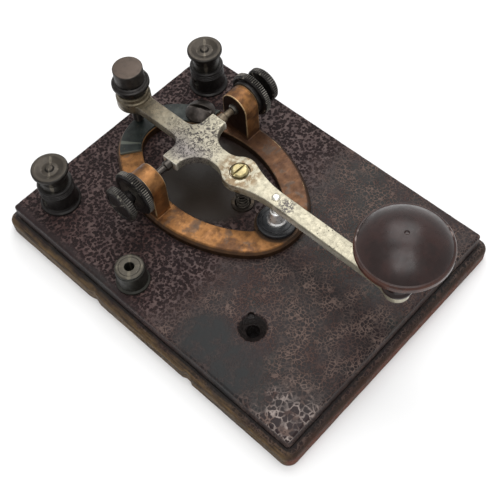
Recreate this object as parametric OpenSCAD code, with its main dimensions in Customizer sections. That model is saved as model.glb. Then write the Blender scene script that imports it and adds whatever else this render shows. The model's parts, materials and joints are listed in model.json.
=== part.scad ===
// Straight telegraph key on a moulded wooden board.
// X is across the key, Y runs from the knob (-Y) to the terminals (+Y), Z is up from the bench.

/* [Board] */
// Width of the board at its lip
board_w = 101.6; // [84:0.1:130]
// Length of the board at its lip
board_l = 133.4; // [110:0.1:170]
// Thickness of the board
board_t = 12.7; // [10.5:0.1:18]
// How far the upper step is set in from the lip
step_inset = 3.0; // [1.5:0.1:4]
// Height of the lip round the foot of the board
lip_h = 6.6; // [3:0.1:8]
// Corner radius of the lip
board_corner_r = 4.6; // [4.6:0.1:12]

/* [Mounting holes] */
// Distance of the left wood screw hole from the board's left side
hole_left_x = 23.6; // [15:0.1:35]
// Distance of the left wood screw hole from the board's front edge
hole_left_y = 36.2; // [30:0.1:50]
// Distance of the right wood screw hole from the board's right side
hole_right_x = 18.3; // [14:0.1:24]
// Distance of the right wood screw hole from the board's front edge
hole_right_y = 30.2; // [24:0.1:40]
// Diameter of the wood screw holes
mount_d = 4.6; // [3:0.1:6]
// Diameter of the countersink for the screw head
mount_head_d = 10.0; // [7:0.1:12]

/* [Key position] */
// Offset of the key from the board's centre line
key_x = 5.6; // [-6:0.1:7]
// Distance from the lever's pivot to the rear edge of the board
key_setback = 41.3; // [38:0.1:60]

/* [Frame ring] */
// Width of the oval ring
ring_w = 52.8; // [50:0.1:56]
// Length of the oval ring
ring_l = 77.8; // [74:0.1:84]
// Width of the ring's band
band_w = 9.0; // [8:0.1:10]
// Thickness of the ring
ring_t = 3.4; // [2.5:0.1:5]
// Outside radius of the ring's two ends
ring_end_r = 20.0; // [17:0.1:22]
// Distance from the pivot forward to the ring's centre
ring_forward = 6.1; // [4:0.1:8]
// Bevel along the ring's outer edge
ring_bevel = 1.2; // [0.4:0.1:1.6]

/* [Pivot] */
// Height of the pivot above the top of the board
pivot_h = 16.1; // [14.5:0.1:20]
// Clear width between the two horns
horn_gap = 38.2; // [36:0.1:40]
// Thickness of each horn along the pivot
horn_t = 6.2; // [5:0.1:7.5]
// Radius of the round top of the horns
horn_r = 5.6; // [5:0.1:7.5]
// Diameter of the pivot screws' shanks
pivot_screw_d = 4.0; // [3:0.1:5]
// Diameter of the pivot screws' heads
pivot_head_d = 12.8; // [10:0.1:14]
// Thickness of the pivot screws' heads
pivot_head_t = 3.0; // [2:0.1:4]
// Diameter of the pivot lock nuts' knurled discs
pivot_nut_d = 16.4; // [14:0.1:18]
// Diameter of the pivot lock nuts' hubs
pivot_hub_d = 12.6; // [11:0.1:13.5]
// Thickness of the pivot lock nuts, hub and disc together
pivot_nut_t = 3.9; // [3.2:0.1:5]
// Length of stem showing between lock nut and head
pivot_stem = 3.0; // [2:0.1:6]
// Diameter of the pivot pins in the lever's arms
pivot_pin_d = 2.4; // [1.5:0.1:2.6]

/* [Lever] */
// Thickness of the lever
lever_t = 3.4; // [3:0.1:4]
// Width of the bar in front of the contact
bar_w = 5.5; // [4.5:0.1:8]
// Width of the neck behind the spring boss
neck_w = 6.4; // [5:0.1:9]
// Width of each cross arm
arm_w = 6.2; // [5:0.1:8]
// Length across both cross arms
arm_span = 23.8; // [20:0.1:28]
// Width of the rear arm
rear_arm_w = 6.5; // [5:0.1:8]
// Radius of the spring boss
boss_r = 6.15; // [5.5:0.05:7]
// Radius of the rear boss
rear_boss_r = 6.0; // [5:0.1:7]
// How far the rear boss stands above the lever
rear_boss_rise = 2.6; // [0.4:0.1:4]
// Radius of the hollow between neck and cross arms
arm_fillet_r = 8.0; // [4:0.1:8.5]
// Radius of the pad under the knob
knob_pad_r = 4.2; // [3.8:0.1:5]
// Distance from the pivot forward to the spring screw
spring_reach = 20.8; // [19:0.1:23]
// Distance from the pivot forward to the contact
contact_reach = 36.7; // [34:0.1:38]
// Distance from the pivot forward to the knob
knob_reach = 85.4; // [75:0.1:105]
// Distance from the pivot back to the rear adjusting screw
rear_reach = 30.2; // [28:0.1:31]

/* [Contacts] */
// Open gap between the two contacts at rest
contact_gap = 0.8; // [0.5:0.05:1.5]
// Diameter of the contact points
contact_d = 2.8; // [2:0.1:3.2]
// How far the upper contact stands out under the lever
upper_contact_h = 2.2; // [1.5:0.1:3]
// Diameter of the upper contact's rivet shank
rivet_d = 2.0; // [1.4:0.1:2.6]
// Diameter of the anvil at its foot
anvil_d = 6.8; // [5:0.1:8]
// Diameter of the insulating bush's flange
bush_d = 13.6; // [11:0.1:14]
// Thickness of the insulating bush's flange
bush_t = 1.6; // [1:0.1:3]

/* [Knob] */
// Diameter of the knob
knob_d = 28.6; // [24:0.1:34]
// Height of the knob over the lever
knob_h = 29.0; // [25:0.1:34]
// Height of the knob's domed top over its rim
knob_dome = 5.9; // [3:0.1:8]
// Diameter of the knob's neck
knob_neck_d = 9.0; // [7:0.1:12]
// Diameter of the screw that holds the knob
knob_screw_d = 3.5; // [3:0.1:4]

/* [Adjusting screws] */
// Shank diameter of the rear adjusting screw
rear_screw_d = 4.0; // [3:0.1:5]
// Head diameter of the rear adjusting screw
rear_head_d = 10.4; // [8:0.1:12]
// Head height of the rear adjusting screw
rear_head_h = 5.8; // [4:0.1:8]
// Diameter of the rear lock nut's disc
rear_nut_d = 13.2; // [11:0.1:15]
// Height of the rear lock nut
rear_nut_h = 4.8; // [3:0.1:6]
// Shank diameter of the spring tension screw
spring_screw_d = 3.2; // [2.6:0.1:3.6]
// Head diameter of the spring tension screw
spring_head_d = 5.8; // [5:0.1:7]
// Outside diameter of the return spring
spring_d = 4.6; // [4.2:0.1:6]
// Wire diameter of the return spring
spring_wire = 0.5; // [0.3:0.05:0.6]

/* [Terminals] */
// Distance of the left terminal from the board's left side
post_left_edge = 15.9; // [14:0.1:20]
// Distance of the right terminal from the board's right side
post_right_edge = 14.0; // [13:0.1:20]
// Distance of the two terminals from the board's rear edge
post_edge_y = 13.7; // [13:0.1:20]
// Diameter of a terminal's barrel
post_d = 12.2; // [11:0.1:13]
// Height of a terminal's barrel
post_h = 10.8; // [9:0.1:14]
// Diameter of a terminal's foot
post_foot_d = 14.2; // [12.5:0.1:16]
// Diameter of the tapped hole in a terminal
post_thread_d = 3.5; // [3:0.1:4]
// Diameter of the wire hole through a terminal
wire_hole_d = 2.4; // [1.5:0.1:3]
// Diameter of the thumb screw's dished head
thumb_d = 12.6; // [10:0.1:15]
// Height of the thumb screw over the barrel
thumb_h = 7.6; // [5:0.1:10]
// Distance of the bare post from the board's left side
stub_edge = 10.4; // [10:0.1:16]
// Distance of the bare post from the board's rear edge
stub_edge_y = 56.3; // [50:0.1:80]
// Diameter of the bare post
stub_d = 9.6; // [8:0.1:11]
// Height of the bare post
stub_h = 8.8; // [6:0.1:12]

/* [Fastening under the board] */
// Diameter of the studs that pass through the board
stud_d = 4.0; // [3:0.1:5]
// Depth of the channels in the underside
channel_depth = 5.0; // [4.4:0.1:6]
// Width of the channels in the underside
channel_w = 8.6; // [7.6:0.1:10]
// Width of the brass connecting straps
strap_w = 6.6; // [5:0.1:7.2]
// Thickness of the brass connecting straps
strap_t = 0.8; // [0.5:0.1:1.2]
// Width across the corners of the nuts
nut_d = 8.0; // [6.5:0.1:8.8]
// Height of the nuts
nut_h = 2.8; // [2:0.1:3.2]

/* [Rear stop] */
// Thickness of the rear stop plate on the ring
plate_t = 0.9; // [0.5:0.1:1.5]
// Head diameter of the frame screw
frame_head_d = 10.6; // [9:0.1:12]
// Height of the frame screw's domed head
frame_head_h = 3.6; // [3:0.1:5]

/* [Hidden] */
$fn = 64;

// Radial clearance of a threaded or turning fit
fit = 0.05;
// Clearance of a stud in the wood
wood_fit = 0.15;
// Overlap of a cut past the face that it opens
cut = 1;

pivot_y = board_l / 2 - key_setback;
pivot_z = board_t + pivot_h;
ring_y = pivot_y - ring_forward;
ring_z = board_t + ring_t;
lever_top = pivot_z + lever_t / 2;
lever_base = pivot_z - lever_t / 2;
contact_y = pivot_y - contact_reach;
spring_y = pivot_y - spring_reach;
knob_y = pivot_y - knob_reach;
rear_y = pivot_y + rear_reach;

// Side arcs of the oval: their radius, centre offset and the angle where they meet the ends
ring_a = ring_w / 2;
ring_b = ring_l / 2;
end_c = ring_b - ring_end_r;
side_r = (ring_a * ring_a + end_c * end_c - ring_end_r * ring_end_r) / (2 * (ring_a - ring_end_r));
side_c = side_r - ring_a;
meet_a = atan2(end_c, side_c);

// Angle of the frame screw, seen from the centre of the oval's right side arc
frame_screw_a = 27.5;
// Angles at which the slots of the frame screw and the spring screw stand
frame_slot_a = -67;
spring_slot_a = -2;
// Angles of the rear stop plate's two ends, seen from the centre of the oval's rear arc
plate_a0 = -5;
plate_a1 = 144;
frame_screw_at = [key_x - side_c, ring_y] + (side_r - band_w / 2) * dir(frame_screw_a);

post_left_at = [-board_w / 2 + post_left_edge, board_l / 2 - post_edge_y];
post_right_at = [board_w / 2 - post_right_edge, board_l / 2 - post_edge_y - 1.5];
bare_at = [-board_w / 2 + stub_edge, board_l / 2 - stub_edge_y];
anvil_at = [key_x, contact_y];
hole_left_at = [-board_w / 2 + hole_left_x, -board_l / 2 + hole_left_y];
hole_right_at = [board_w / 2 - hole_right_x, -board_l / 2 + hole_right_y];

anvil_seat_z = ring_z + bush_t;
anvil_top_z = lever_base - upper_contact_h - contact_gap;
strap_z = channel_depth - strap_t;
nut_z = strap_z - nut_h;

function arc(c, r, a0, a1, n) = [for (i = [0:n]) c + r * [cos(a0 + (a1 - a0) * i / n), sin(a0 + (a1 - a0) * i / n)]];
function dir(a) = [cos(a), sin(a)];
function no_repeats(list) = [for (i = [0:len(list) - 1])
    if (norm(list[i] - list[(i + 1) % len(list)]) > 0.01) list[i]];

// ---------- shared shapes ----------

// Strips of width w from stop to stop, with a round eye at each stop
module run(stops, w, eye) {
    for (i = [0:len(stops) - 2]) {
        d = stops[i + 1] - stops[i];
        translate(stops[i]) rotate(atan2(d[1], d[0])) translate([0, -w / 2]) square([norm(d), w]);
    }
    for (p = stops) translate(p) circle(d = eye);
}

module at_key(y, z) translate([key_x, y, z]) children();

module turned(profile) rotate_extrude() polygon(profile);

module hex_nut(across, h, bore) {
    difference() {
        cylinder(d = across, h = h, $fn = 6);
        translate([0, 0, -cut]) cylinder(r = bore / 2 + fit, h = h + 2 * cut);
    }
}

// ---------- board ----------

// Section of the moulded edge: x is measured out from the corner's centre, y is height
function edge_section(lip_round, foot, top_round) = let (r = board_corner_r, s = step_inset) concat(
    [[0, 0], [r - foot, 0], [r, foot]],
    arc([r - lip_round, lip_h - lip_round], lip_round, 0, 90, 4),
    [[r - s - 0.4, lip_h], [r - s, lip_h + 0.4]],
    arc([r - s - top_round, board_t - top_round], top_round, 0, 90, 5),
    [[0, board_t]]);

module moulded_blank() {
    section = edge_section(1.6, 0.6, min(1.5, board_corner_r - step_inset - 0.1));
    core = [board_w - 2 * board_corner_r, board_l - 2 * board_corner_r];
    translate([-core[0] / 2, -core[1] / 2, 0]) cube([core[0], core[1], board_t]);
    for (i = [0:3]) {
        along = i % 2 == 0 ? core[1] : core[0];
        out = i % 2 == 0 ? core[0] : core[1];
        rotate(90 * i) {
            translate([out / 2, along / 2, 0]) rotate([90, 0, 0]) linear_extrude(along) polygon(section);
            translate([out / 2, along / 2, 0]) rotate_extrude(angle = 90) polygon(section);
        }
    }
}

module board_channel(stops) translate([0, 0, -cut]) linear_extrude(channel_depth + cut)
    run(stops, channel_w, channel_w + 2);

module base_board() {
    color("#3a2a28") difference() {
        moulded_blank();
        for (p = [hole_left_at, hole_right_at]) translate([p[0], p[1], 0]) {
            translate([0, 0, -cut]) cylinder(d = mount_d, h = board_t + 2 * cut);
            translate([0, 0, board_t - (mount_head_d - mount_d) / 2])
                cylinder(d1 = mount_d, d2 = mount_head_d + 2, h = (mount_head_d - mount_d) / 2 + 1);
        }
        for (p = [post_left_at, post_right_at, bare_at, frame_screw_at, anvil_at])
            translate([p[0], p[1], 0]) cylinder(d = stud_d + 2 * wood_fit, h = board_t + cut);
        at_key(contact_y, board_t - bush_t) cylinder(d = bush_d + 2 * wood_fit, h = bush_t + cut);
        at_key(spring_y, board_t - 3) cylinder(d = spring_d + 2.4, h = 3 + cut);
        board_channel([bare_at, post_left_at, frame_screw_at]);
        board_channel([post_right_at, anvil_at]);
    }
}

// ---------- frame ----------

// The oval made of four arcs, set in from the ring's outer edge
module oval(inset) {
    side = arc([-side_c, 0], side_r - inset, -meet_a, meet_a, 40);
    end = arc([0, end_c], ring_end_r - inset, meet_a, 180 - meet_a, 40);
    half = concat(side, end);
    polygon(no_repeats(concat(half, -half)));
}

module horn() rotate([90, 0, 90]) linear_extrude(horn_t)
    polygon(concat([[-horn_r, board_t], [horn_r, board_t]], arc([0, pivot_z], horn_r, 0, 180, 32)));

module key_frame() {
    color("#b5793a") difference() {
        union() {
            at_key(ring_y, board_t) difference() {
                hull() {
                    linear_extrude(ring_t - ring_bevel) oval(0);
                    linear_extrude(ring_t) oval(ring_bevel);
                }
                translate([0, 0, -cut]) linear_extrude(ring_t + 2 * cut) oval(band_w);
            }
            at_key(contact_y, board_t) cylinder(d = bush_d + 1.8, h = ring_t);
            for (s = [0, 1]) mirror([s, 0, 0])
                translate([(s == 0 ? key_x : -key_x) + horn_gap / 2, pivot_y, 0]) horn();
        }
        translate([key_x - ring_w, pivot_y, pivot_z]) rotate([0, 90, 0])
            cylinder(r = pivot_screw_d / 2 + fit, h = 2 * ring_w);
        at_key(contact_y, board_t - cut) cylinder(d = stud_d + 4 + 2 * fit, h = ring_t + 2 * cut);
        translate([frame_screw_at[0], frame_screw_at[1], board_t - cut])
            cylinder(r = stud_d / 2 + fit, h = ring_t + 2 * cut);
    }
}

module rear_stop_plate() {
    reach = ring_l;
    wedge = [[0, 0], reach * dir(plate_a0), reach * dir((plate_a0 + plate_a1) / 2), reach * dir(plate_a1)];
    color("#2f3a36") difference() {
        at_key(ring_y, ring_z) linear_extrude(plate_t) intersection() {
            difference() {
                oval(ring_bevel);
                oval(band_w);
            }
            translate([0, end_c]) polygon(wedge);
        }
        translate([frame_screw_at[0], frame_screw_at[1], ring_z - cut])
            cylinder(r = stud_d / 2 + fit, h = plate_t + 2 * cut);
    }
}

module frame_screw() {
    seat = ring_z + plate_t;
    rise = frame_head_h - 1.2;
    dome = (frame_head_d * frame_head_d / 4 + rise * rise) / (2 * rise);
    color("#3b3633") translate([frame_screw_at[0], frame_screw_at[1], 0]) {
        difference() {
            union() {
                translate([0, 0, seat]) cylinder(d = frame_head_d, h = 1.2);
                translate([0, 0, seat + 1.2]) intersection() {
                    cylinder(d = frame_head_d, h = rise);
                    translate([0, 0, rise - dome]) sphere(r = dome, $fn = 96);
                }
            }
            translate([0, 0, seat + frame_head_h]) rotate(frame_slot_a)
                cube([frame_head_d + 2, 1.3, 3], center = true);
        }
        translate([0, 0, nut_z - 0.6]) cylinder(d = stud_d, h = seat - nut_z + 0.6);
    }
}

module frame_screw_nut() color("#a8843c") translate([frame_screw_at[0], frame_screw_at[1], nut_z])
    hex_nut(nut_d, nut_h, stud_d);

// ---------- contacts and spring ----------

module anvil_bush() color("#1c1b1a") at_key(contact_y, 0) difference() {
    union() {
        translate([0, 0, ring_z]) cylinder(d = bush_d, h = bush_t - 0.4);
        translate([0, 0, ring_z + bush_t - 0.4]) cylinder(d1 = bush_d, d2 = bush_d - 0.8, h = 0.4);
        translate([0, 0, board_t]) cylinder(d = stud_d + 4, h = ring_t);
    }
    translate([0, 0, board_t - cut]) cylinder(r = stud_d / 2 + fit, h = ring_t + bush_t + 2 * cut);
}

module anvil_lower_washer() color("#1c1b1a") at_key(contact_y, board_t - bush_t) difference() {
    cylinder(d = bush_d, h = bush_t);
    translate([0, 0, -cut]) cylinder(r = stud_d / 2 + fit, h = bush_t + 2 * cut);
}

module anvil() {
    top = anvil_top_z - 0.6;
    color("#c4c4c0") at_key(contact_y, 0) difference() {
        union() {
            translate([0, 0, anvil_seat_z]) turned([[0, 0], [anvil_d / 2, 0], [anvil_d / 2, 1.2],
                [anvil_d / 2 - 0.4, 1.8], [contact_d / 2 + 0.5, top - anvil_seat_z], [0, top - anvil_seat_z]]);
            translate([0, 0, nut_z - 0.6]) cylinder(d = stud_d, h = anvil_seat_z - nut_z + 0.6);
        }
        translate([0, 0, top - 1.2]) cylinder(r = contact_d / 2 - 0.4, h = 2);
    }
}

module anvil_contact() color("#dcdcd8") at_key(contact_y, 0) {
    translate([0, 0, anvil_top_z - 0.6]) cylinder(d = contact_d, h = 0.6);
    translate([0, 0, anvil_top_z - 1.8]) cylinder(r = contact_d / 2 - 0.4 - fit, h = 1.3);
}

module anvil_nut() color("#a8843c") at_key(contact_y, nut_z) hex_nut(nut_d, nut_h, stud_d);

module spring_cup() color("#8a6a38") at_key(spring_y, board_t - 3) difference() {
    union() {
        cylinder(d = spring_d + 2.4, h = 3);
        translate([0, 0, 3]) cylinder(d = spring_d + 3.4, h = 0.5);
    }
    translate([0, 0, 1]) cylinder(d = spring_d + 0.8, h = 4);
}

// Spring: a round wire swept up a helix between its two flat end turns
spring_foot = board_t - 2 + spring_wire / 2;
spring_head = lever_base - 5.2 - spring_wire / 2;
spring_turns = 8;
spring_steps = 20;
spring_sides = 8;
function spring_rise(t) = spring_foot + (spring_head - spring_foot) * min(1, max(0, (t - 0.7) / (spring_turns - 1.4)));
function spring_ring(i) = let (t = i / spring_steps, a = 360 * t, r = (spring_d - spring_wire) / 2)
    [for (j = [0:spring_sides - 1]) let (b = 360 * j / spring_sides, w = spring_wire / 2)
        [(r + w * cos(b)) * cos(a), (r + w * cos(b)) * sin(a), spring_rise(t) + w * sin(b)]];

module return_spring() {
    rings = spring_turns * spring_steps;
    n = spring_sides;
    points = [for (i = [0:rings]) each spring_ring(i)];
    sides = [for (i = [0:rings - 1], j = [0:n - 1])
        [i * n + j, i * n + (j + 1) % n, (i + 1) * n + (j + 1) % n, (i + 1) * n + j]];
    start_cap = [[for (j = [n - 1:-1:0]) j]];
    end_cap = [[for (j = [0:n - 1]) rings * n + j]];
    color("#8f8f8a") at_key(spring_y, 0) polyhedron(points, concat(sides, start_cap, end_cap));
}

// ---------- terminals ----------

module post_body(p) color("#34302e") translate([p[0], p[1], board_t]) difference() {
    r = post_d / 2;
    union() {
        turned(concat([[0, 0], [post_foot_d / 2, 0], [post_foot_d / 2, 0.8], [r + 0.3, 1.4], [r, 1.8]],
            [for (i = [0:2]) each [[r, post_h - 2.9 + i * 0.8], [r - 0.35, post_h - 2.7 + i * 0.8],
                [r, post_h - 2.5 + i * 0.8]]],
            [[r, post_h - 0.4], [r - 0.4, post_h], [0, post_h]]));
        translate([0, 0, nut_z - 0.6 - board_t]) cylinder(d = stud_d, h = board_t - nut_z + 1);
    }
    translate([0, 0, post_h / 2 + wire_hole_d / 4]) cylinder(r = post_thread_d / 2, h = post_h);
    translate([-post_d, 0, post_h / 2]) rotate([0, 90, 0]) cylinder(d = wire_hole_d, h = 2 * post_d);
}

module thumb_screw(p) {
    z = board_t + post_h;
    neck = post_d / 2 - 1.2;
    rim = thumb_d / 2;
    color("#565046") translate([p[0], p[1], z]) {
        turned([[0, 0.05], [neck, 0.05], [neck - 0.3, thumb_h * 0.3], [neck + 0.2, thumb_h * 0.72],
            [rim - 0.4, thumb_h * 0.78], [rim, thumb_h * 0.84], [rim, thumb_h - 0.4], [rim - 0.4, thumb_h],
            [rim - 1.4, thumb_h], [2.2, thumb_h - 0.9], [1.5, thumb_h - 0.7], [0.8, thumb_h - 0.1], [0, thumb_h]]);
        translate([0, 0, -post_h / 2 + wire_hole_d / 2 + 0.2])
            cylinder(r = post_thread_d / 2 - fit, h = post_h / 2 - wire_hole_d / 2);
    }
}

module bare_post() color("#4a463c") translate([bare_at[0], bare_at[1], board_t]) difference() {
    r = stub_d / 2;
    union() {
        turned([[0, 0], [r + 0.9, 0], [r + 0.9, 0.8], [r + 0.2, 1.4], [r + 0.2, stub_h - 1.6], [r, stub_h - 1.3],
            [r, stub_h - 0.7], [r - 0.6, stub_h - 0.5], [r - 0.6, stub_h - 0.2], [r - 0.8, stub_h], [0, stub_h]]);
        translate([0, 0, nut_z - 0.6 - board_t]) cylinder(d = stud_d, h = board_t - nut_z + 1);
    }
    translate([0, 0, stub_h - 6]) cylinder(d = post_thread_d, h = 6 + cut);
}

module terminal_nuts() color("#a8843c") for (p = [post_left_at, post_right_at, bare_at])
    translate([p[0], p[1], nut_z]) hex_nut(nut_d, nut_h, stud_d);

module strap(stops) color("#b08a48") translate([0, 0, strap_z]) linear_extrude(strap_t) difference() {
    run(stops, strap_w, strap_w + 2);
    for (p = stops) translate(p) circle(r = stud_d / 2 + fit);
}

module frame_strap() strap([bare_at, post_left_at, frame_screw_at]);
module anvil_strap() strap([post_right_at, anvil_at]);

// ---------- pivot screws ----------

// Lies along +X from the pivot's middle
module pivot_screw() {
    tip = horn_gap / 2 - 1.2;
    out = horn_gap / 2 + horn_t + pivot_nut_t;
    head = out + pivot_stem;
    r = pivot_head_d / 2;
    translate([0, 0, pivot_z]) rotate([0, 90, 0]) difference() {
        turned([[0, tip], [pivot_screw_d / 2 - 0.5, tip], [pivot_screw_d / 2, tip + 0.6],
            [pivot_screw_d / 2, out + 0.4], [pivot_screw_d / 2 + 0.5, out + 0.9],
            [pivot_screw_d / 2 + 0.5, head - 0.8], [r - 2, head - 0.2], [r - 0.6, head], [r, head + 0.6],
            [r, head + pivot_head_t - 0.7], [r - 0.7, head + pivot_head_t], [0, head + pivot_head_t]]);
        translate([0, 0, tip - 0.01]) cylinder(r1 = pivot_pin_d / 2 + 0.1, r2 = 0, h = pivot_pin_d / 2 + 0.1);
    }
}

module pivot_nut() translate([horn_gap / 2 + horn_t, 0, pivot_z]) rotate([0, 90, 0]) {
    r = pivot_nut_d / 2;
    bore = pivot_screw_d / 2 + fit;
    hub = 1.2;
    turned([[bore, 0], [pivot_hub_d / 2, 0], [pivot_hub_d / 2, hub], [r - 0.4, hub], [r, hub + 0.4],
        [r, pivot_nut_t - 0.5], [r - 0.8, pivot_nut_t], [bore, pivot_nut_t]]);
}

module pivot_pin() {
    inner = arm_span / 2 - 5;
    tip = horn_gap / 2 - 1.2;
    r = pivot_pin_d / 2;
    translate([0, 0, pivot_z]) rotate([0, 90, 0]) turned([[0, inner], [r, inner], [r, arm_span / 2],
        [r + 0.4, arm_span / 2], [r + 0.4, arm_span / 2 + 2.2], [r, arm_span / 2 + 2.6], [r, tip - 0.2],
        [0, tip + r - 0.2]]);
}

module right_side() translate([key_x, pivot_y, 0]) children();
module left_side() translate([key_x, pivot_y, 0]) mirror([1, 0, 0]) children();

module pivot_screw_left() color("#3a3734") left_side() pivot_screw();
module pivot_screw_right() color("#3a3734") right_side() pivot_screw();
module pivot_nut_left() color("#3a3734") left_side() pivot_nut();
module pivot_nut_right() color("#3a3734") right_side() pivot_nut();
module pivot_pin_left() color("#b8b6ae") left_side() pivot_pin();
module pivot_pin_right() color("#b8b6ae") right_side() pivot_pin();

// ---------- lever ----------

// Radius that makes the front fillet of the spring boss end beside the contact
taper_run = contact_reach - spring_reach + 1;
taper_r = (boss_r * boss_r - bar_w * bar_w / 4 - taper_run * taper_run) / (bar_w - 2 * boss_r);

// Centre of the hollow arc of radius f between a boss of radius r at y = c and a straight edge at x = w
function hollow_c(c, r, w, f, side) = [w + f, c + side * sqrt((r + f) * (r + f) - (w + f) * (w + f))];
// Angle, seen from the boss, at which that arc leaves it
function leave_a(c, r, w, f, side) = let (h = hollow_c(c, r, w, f, side)) atan2(h[1] - c, h[0]);
// The arc's points from the boss to the straight edge
function hollow(c, r, w, f, side, n) =
    arc(hollow_c(c, r, w, f, side), f, leave_a(c, r, w, f, side) + 180, 180, n);
function backwards(list) = [for (i = [len(list) - 1:-1:0]) list[i]];

// Right-hand edge of the lever, from its front tip to its rear end
lever_edge = let (arm = arm_span / 2, knob_c = -knob_reach, boss_c = -spring_reach, b = bar_w / 2) concat(
    arc([0, knob_c], knob_pad_r, -90, leave_a(knob_c, knob_pad_r, b, 8, 1), 12),
    hollow(knob_c, knob_pad_r, b, 8, 1, 5),
    backwards(hollow(boss_c, boss_r, b, taper_r, -1, 8)),
    arc([0, boss_c], boss_r, leave_a(boss_c, boss_r, b, taper_r, -1), leave_a(boss_c, boss_r, neck_w / 2, 7, 1), 16),
    hollow(boss_c, boss_r, neck_w / 2, 7, 1, 8),
    arc([neck_w / 2 + arm_fillet_r, -arm_w / 2 - arm_fillet_r], arm_fillet_r, 180, 90, 12),
    [[arm, -arm_w / 2], [arm, arm_w / 2 - 0.2], [arm - 0.4, arm_w / 2], [rear_arm_w / 2 + 1.2, arm_w / 2 + 2.4],
        [rear_arm_w / 2 + 0.3, arm_w / 2 + 3.2], [rear_arm_w / 2, arm_w / 2 + 4.4]],
    backwards(hollow(rear_reach, rear_boss_r, rear_arm_w / 2, 4, -1, 5)),
    arc([0, rear_reach], rear_boss_r, leave_a(rear_reach, rear_boss_r, rear_arm_w / 2, 4, -1), 90, 10));

module lever_outline() polygon(no_repeats(concat(lever_edge, [for (p = backwards(lever_edge)) [-p[0], p[1]]])));

module lever() color("#c6c2b2") at_key(pivot_y, 0) difference() {
    union() {
        translate([0, 0, lever_base]) linear_extrude(lever_t) lever_outline();
        translate([0, rear_reach, lever_base]) cylinder(r = rear_boss_r + 0.15, h = lever_t + rear_boss_rise);
    }
    for (s = [-1, 1]) translate([s * (arm_span / 2 - 5), 0, pivot_z]) rotate([0, s * 90, 0])
        cylinder(r = pivot_pin_d / 2 + 0.01, h = 6);
    translate([0, rear_reach, lever_base - cut])
        cylinder(r = rear_screw_d / 2 + fit, h = lever_t + rear_boss_rise + 2 * cut);
    translate([0, -spring_reach, lever_base - cut])
        cylinder(r = spring_screw_d / 2 + fit, h = lever_t + 2 * cut);
    translate([0, -spring_reach, lever_top - 0.8]) cylinder(d = spring_head_d + 0.8, h = 0.8 + cut);
    translate([0, -contact_reach, lever_base - cut]) cylinder(r = rivet_d / 2 + 0.01, h = lever_t + 2 * cut);
    translate([0, -knob_reach, lever_base - cut]) cylinder(r = knob_screw_d / 2 + fit, h = lever_t + 2 * cut);
}

module contact_rivet() color("#d8d6cc") at_key(contact_y, 0) {
    translate([0, 0, lever_base - upper_contact_h]) cylinder(d = contact_d, h = upper_contact_h);
    translate([0, 0, lever_base]) cylinder(d = rivet_d, h = lever_t);
    translate([0, 0, lever_top]) turned([[0, 0], [1.45, 0], [1.35, 0.3], [0.9, 0.6], [0, 0.7]]);
}

module knob() {
    r = knob_d / 2;
    neck = knob_neck_d / 2 - 0.6;
    rim = knob_h - knob_dome;
    // The hollow under the rim sweeps out and up from the neck
    sweep = r - neck - 2.4;
    dome_r = ((r - 0.7) * (r - 0.7) + knob_dome * knob_dome) / (2 * knob_dome);
    dome_a = acos((r - 0.7) / dome_r);
    color("#3d2622") at_key(knob_y, lever_top) difference() {
        turned(concat([[0, 0], [neck + 1, 0], [neck + 1, 0.8], [neck + 0.4, 1.6]],
            [for (a = [180:-12.5:105]) [neck + sweep * (1 + cos(a)), rim * (0.36 + 0.4 * sin(a))]],
            [[r - 1.4, rim - 3.6], [r - 0.3, rim - 2.8], [r, rim - 2.2], [r, rim - 0.8], [r - 0.7, rim]],
            arc([0, knob_h - dome_r], dome_r, dome_a + 4, 90, 8)));
        translate([0, 0, -cut]) cylinder(r = knob_screw_d / 2 + 0.01, h = knob_h / 2 + cut);
    }
}

module knob_screw() color("#8f8b80") at_key(knob_y, 0) {
    translate([0, 0, lever_base]) cylinder(d = knob_screw_d, h = lever_t + knob_h / 2 - 0.6);
    translate([0, 0, lever_base - 1.6]) difference() {
        turned([[0, 0], [2.4, 0], [3.1, 0.6], [3.1, 1.6], [0, 1.6]]);
        cube([8, 0.8, 1.4], center = true);
    }
}

module spring_screw() color("#cfc9a8") at_key(spring_y, 0) difference() {
    union() {
        translate([0, 0, lever_top - 0.75]) turned([[0, 0], [spring_head_d / 2, 0], [spring_head_d / 2, 1.3],
            [spring_head_d / 2 - 0.5, 1.75], [0, 1.9]]);
        translate([0, 0, lever_base - 5.2]) cylinder(d = spring_screw_d, h = lever_t + 5);
        translate([0, 0, lever_base - 6.4]) cylinder(d = spring_d - 2 * spring_wire - 0.8, h = 1.4);
    }
    translate([0, 0, lever_top + 1.15]) rotate(spring_slot_a) cube([8, 0.8, 1.6], center = true);
}

module spring_lock_nut() color("#a8a294") at_key(spring_y, lever_base - 1.8) hex_nut(7.4, 1.8, spring_screw_d);

module rear_adjust_screw() {
    seat = lever_top + rear_boss_rise + rear_nut_h;
    tip = ring_z + plate_t + 0.05;
    r = rear_head_d / 2;
    color("#5c5248") at_key(rear_y, 0) {
        translate([0, 0, seat]) turned([[0, 0.1], [r - 0.5, 0.1], [r, 0.6], [r, rear_head_h - 0.5],
            [r - 0.5, rear_head_h], [0, rear_head_h]]);
        translate([0, 0, tip]) turned([[0, 0], [1.0, 0], [rear_screw_d / 2, 1.0],
            [rear_screw_d / 2, seat - tip + 0.2], [0, seat - tip + 0.2]]);
    }
}

module rear_lock_nut() {
    r = rear_nut_d / 2;
    b = rear_screw_d / 2 + fit;
    hub = rear_nut_h - 1.9;
    color("#3d3a36") at_key(rear_y, lever_top + rear_boss_rise)
        turned([[b, 0], [rear_head_d / 2, 0], [rear_head_d / 2, hub], [r - 0.4, hub], [r, hub + 0.4],
            [r, rear_nut_h - 0.5], [r - 0.5, rear_nut_h], [b, rear_nut_h]]);
}

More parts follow.
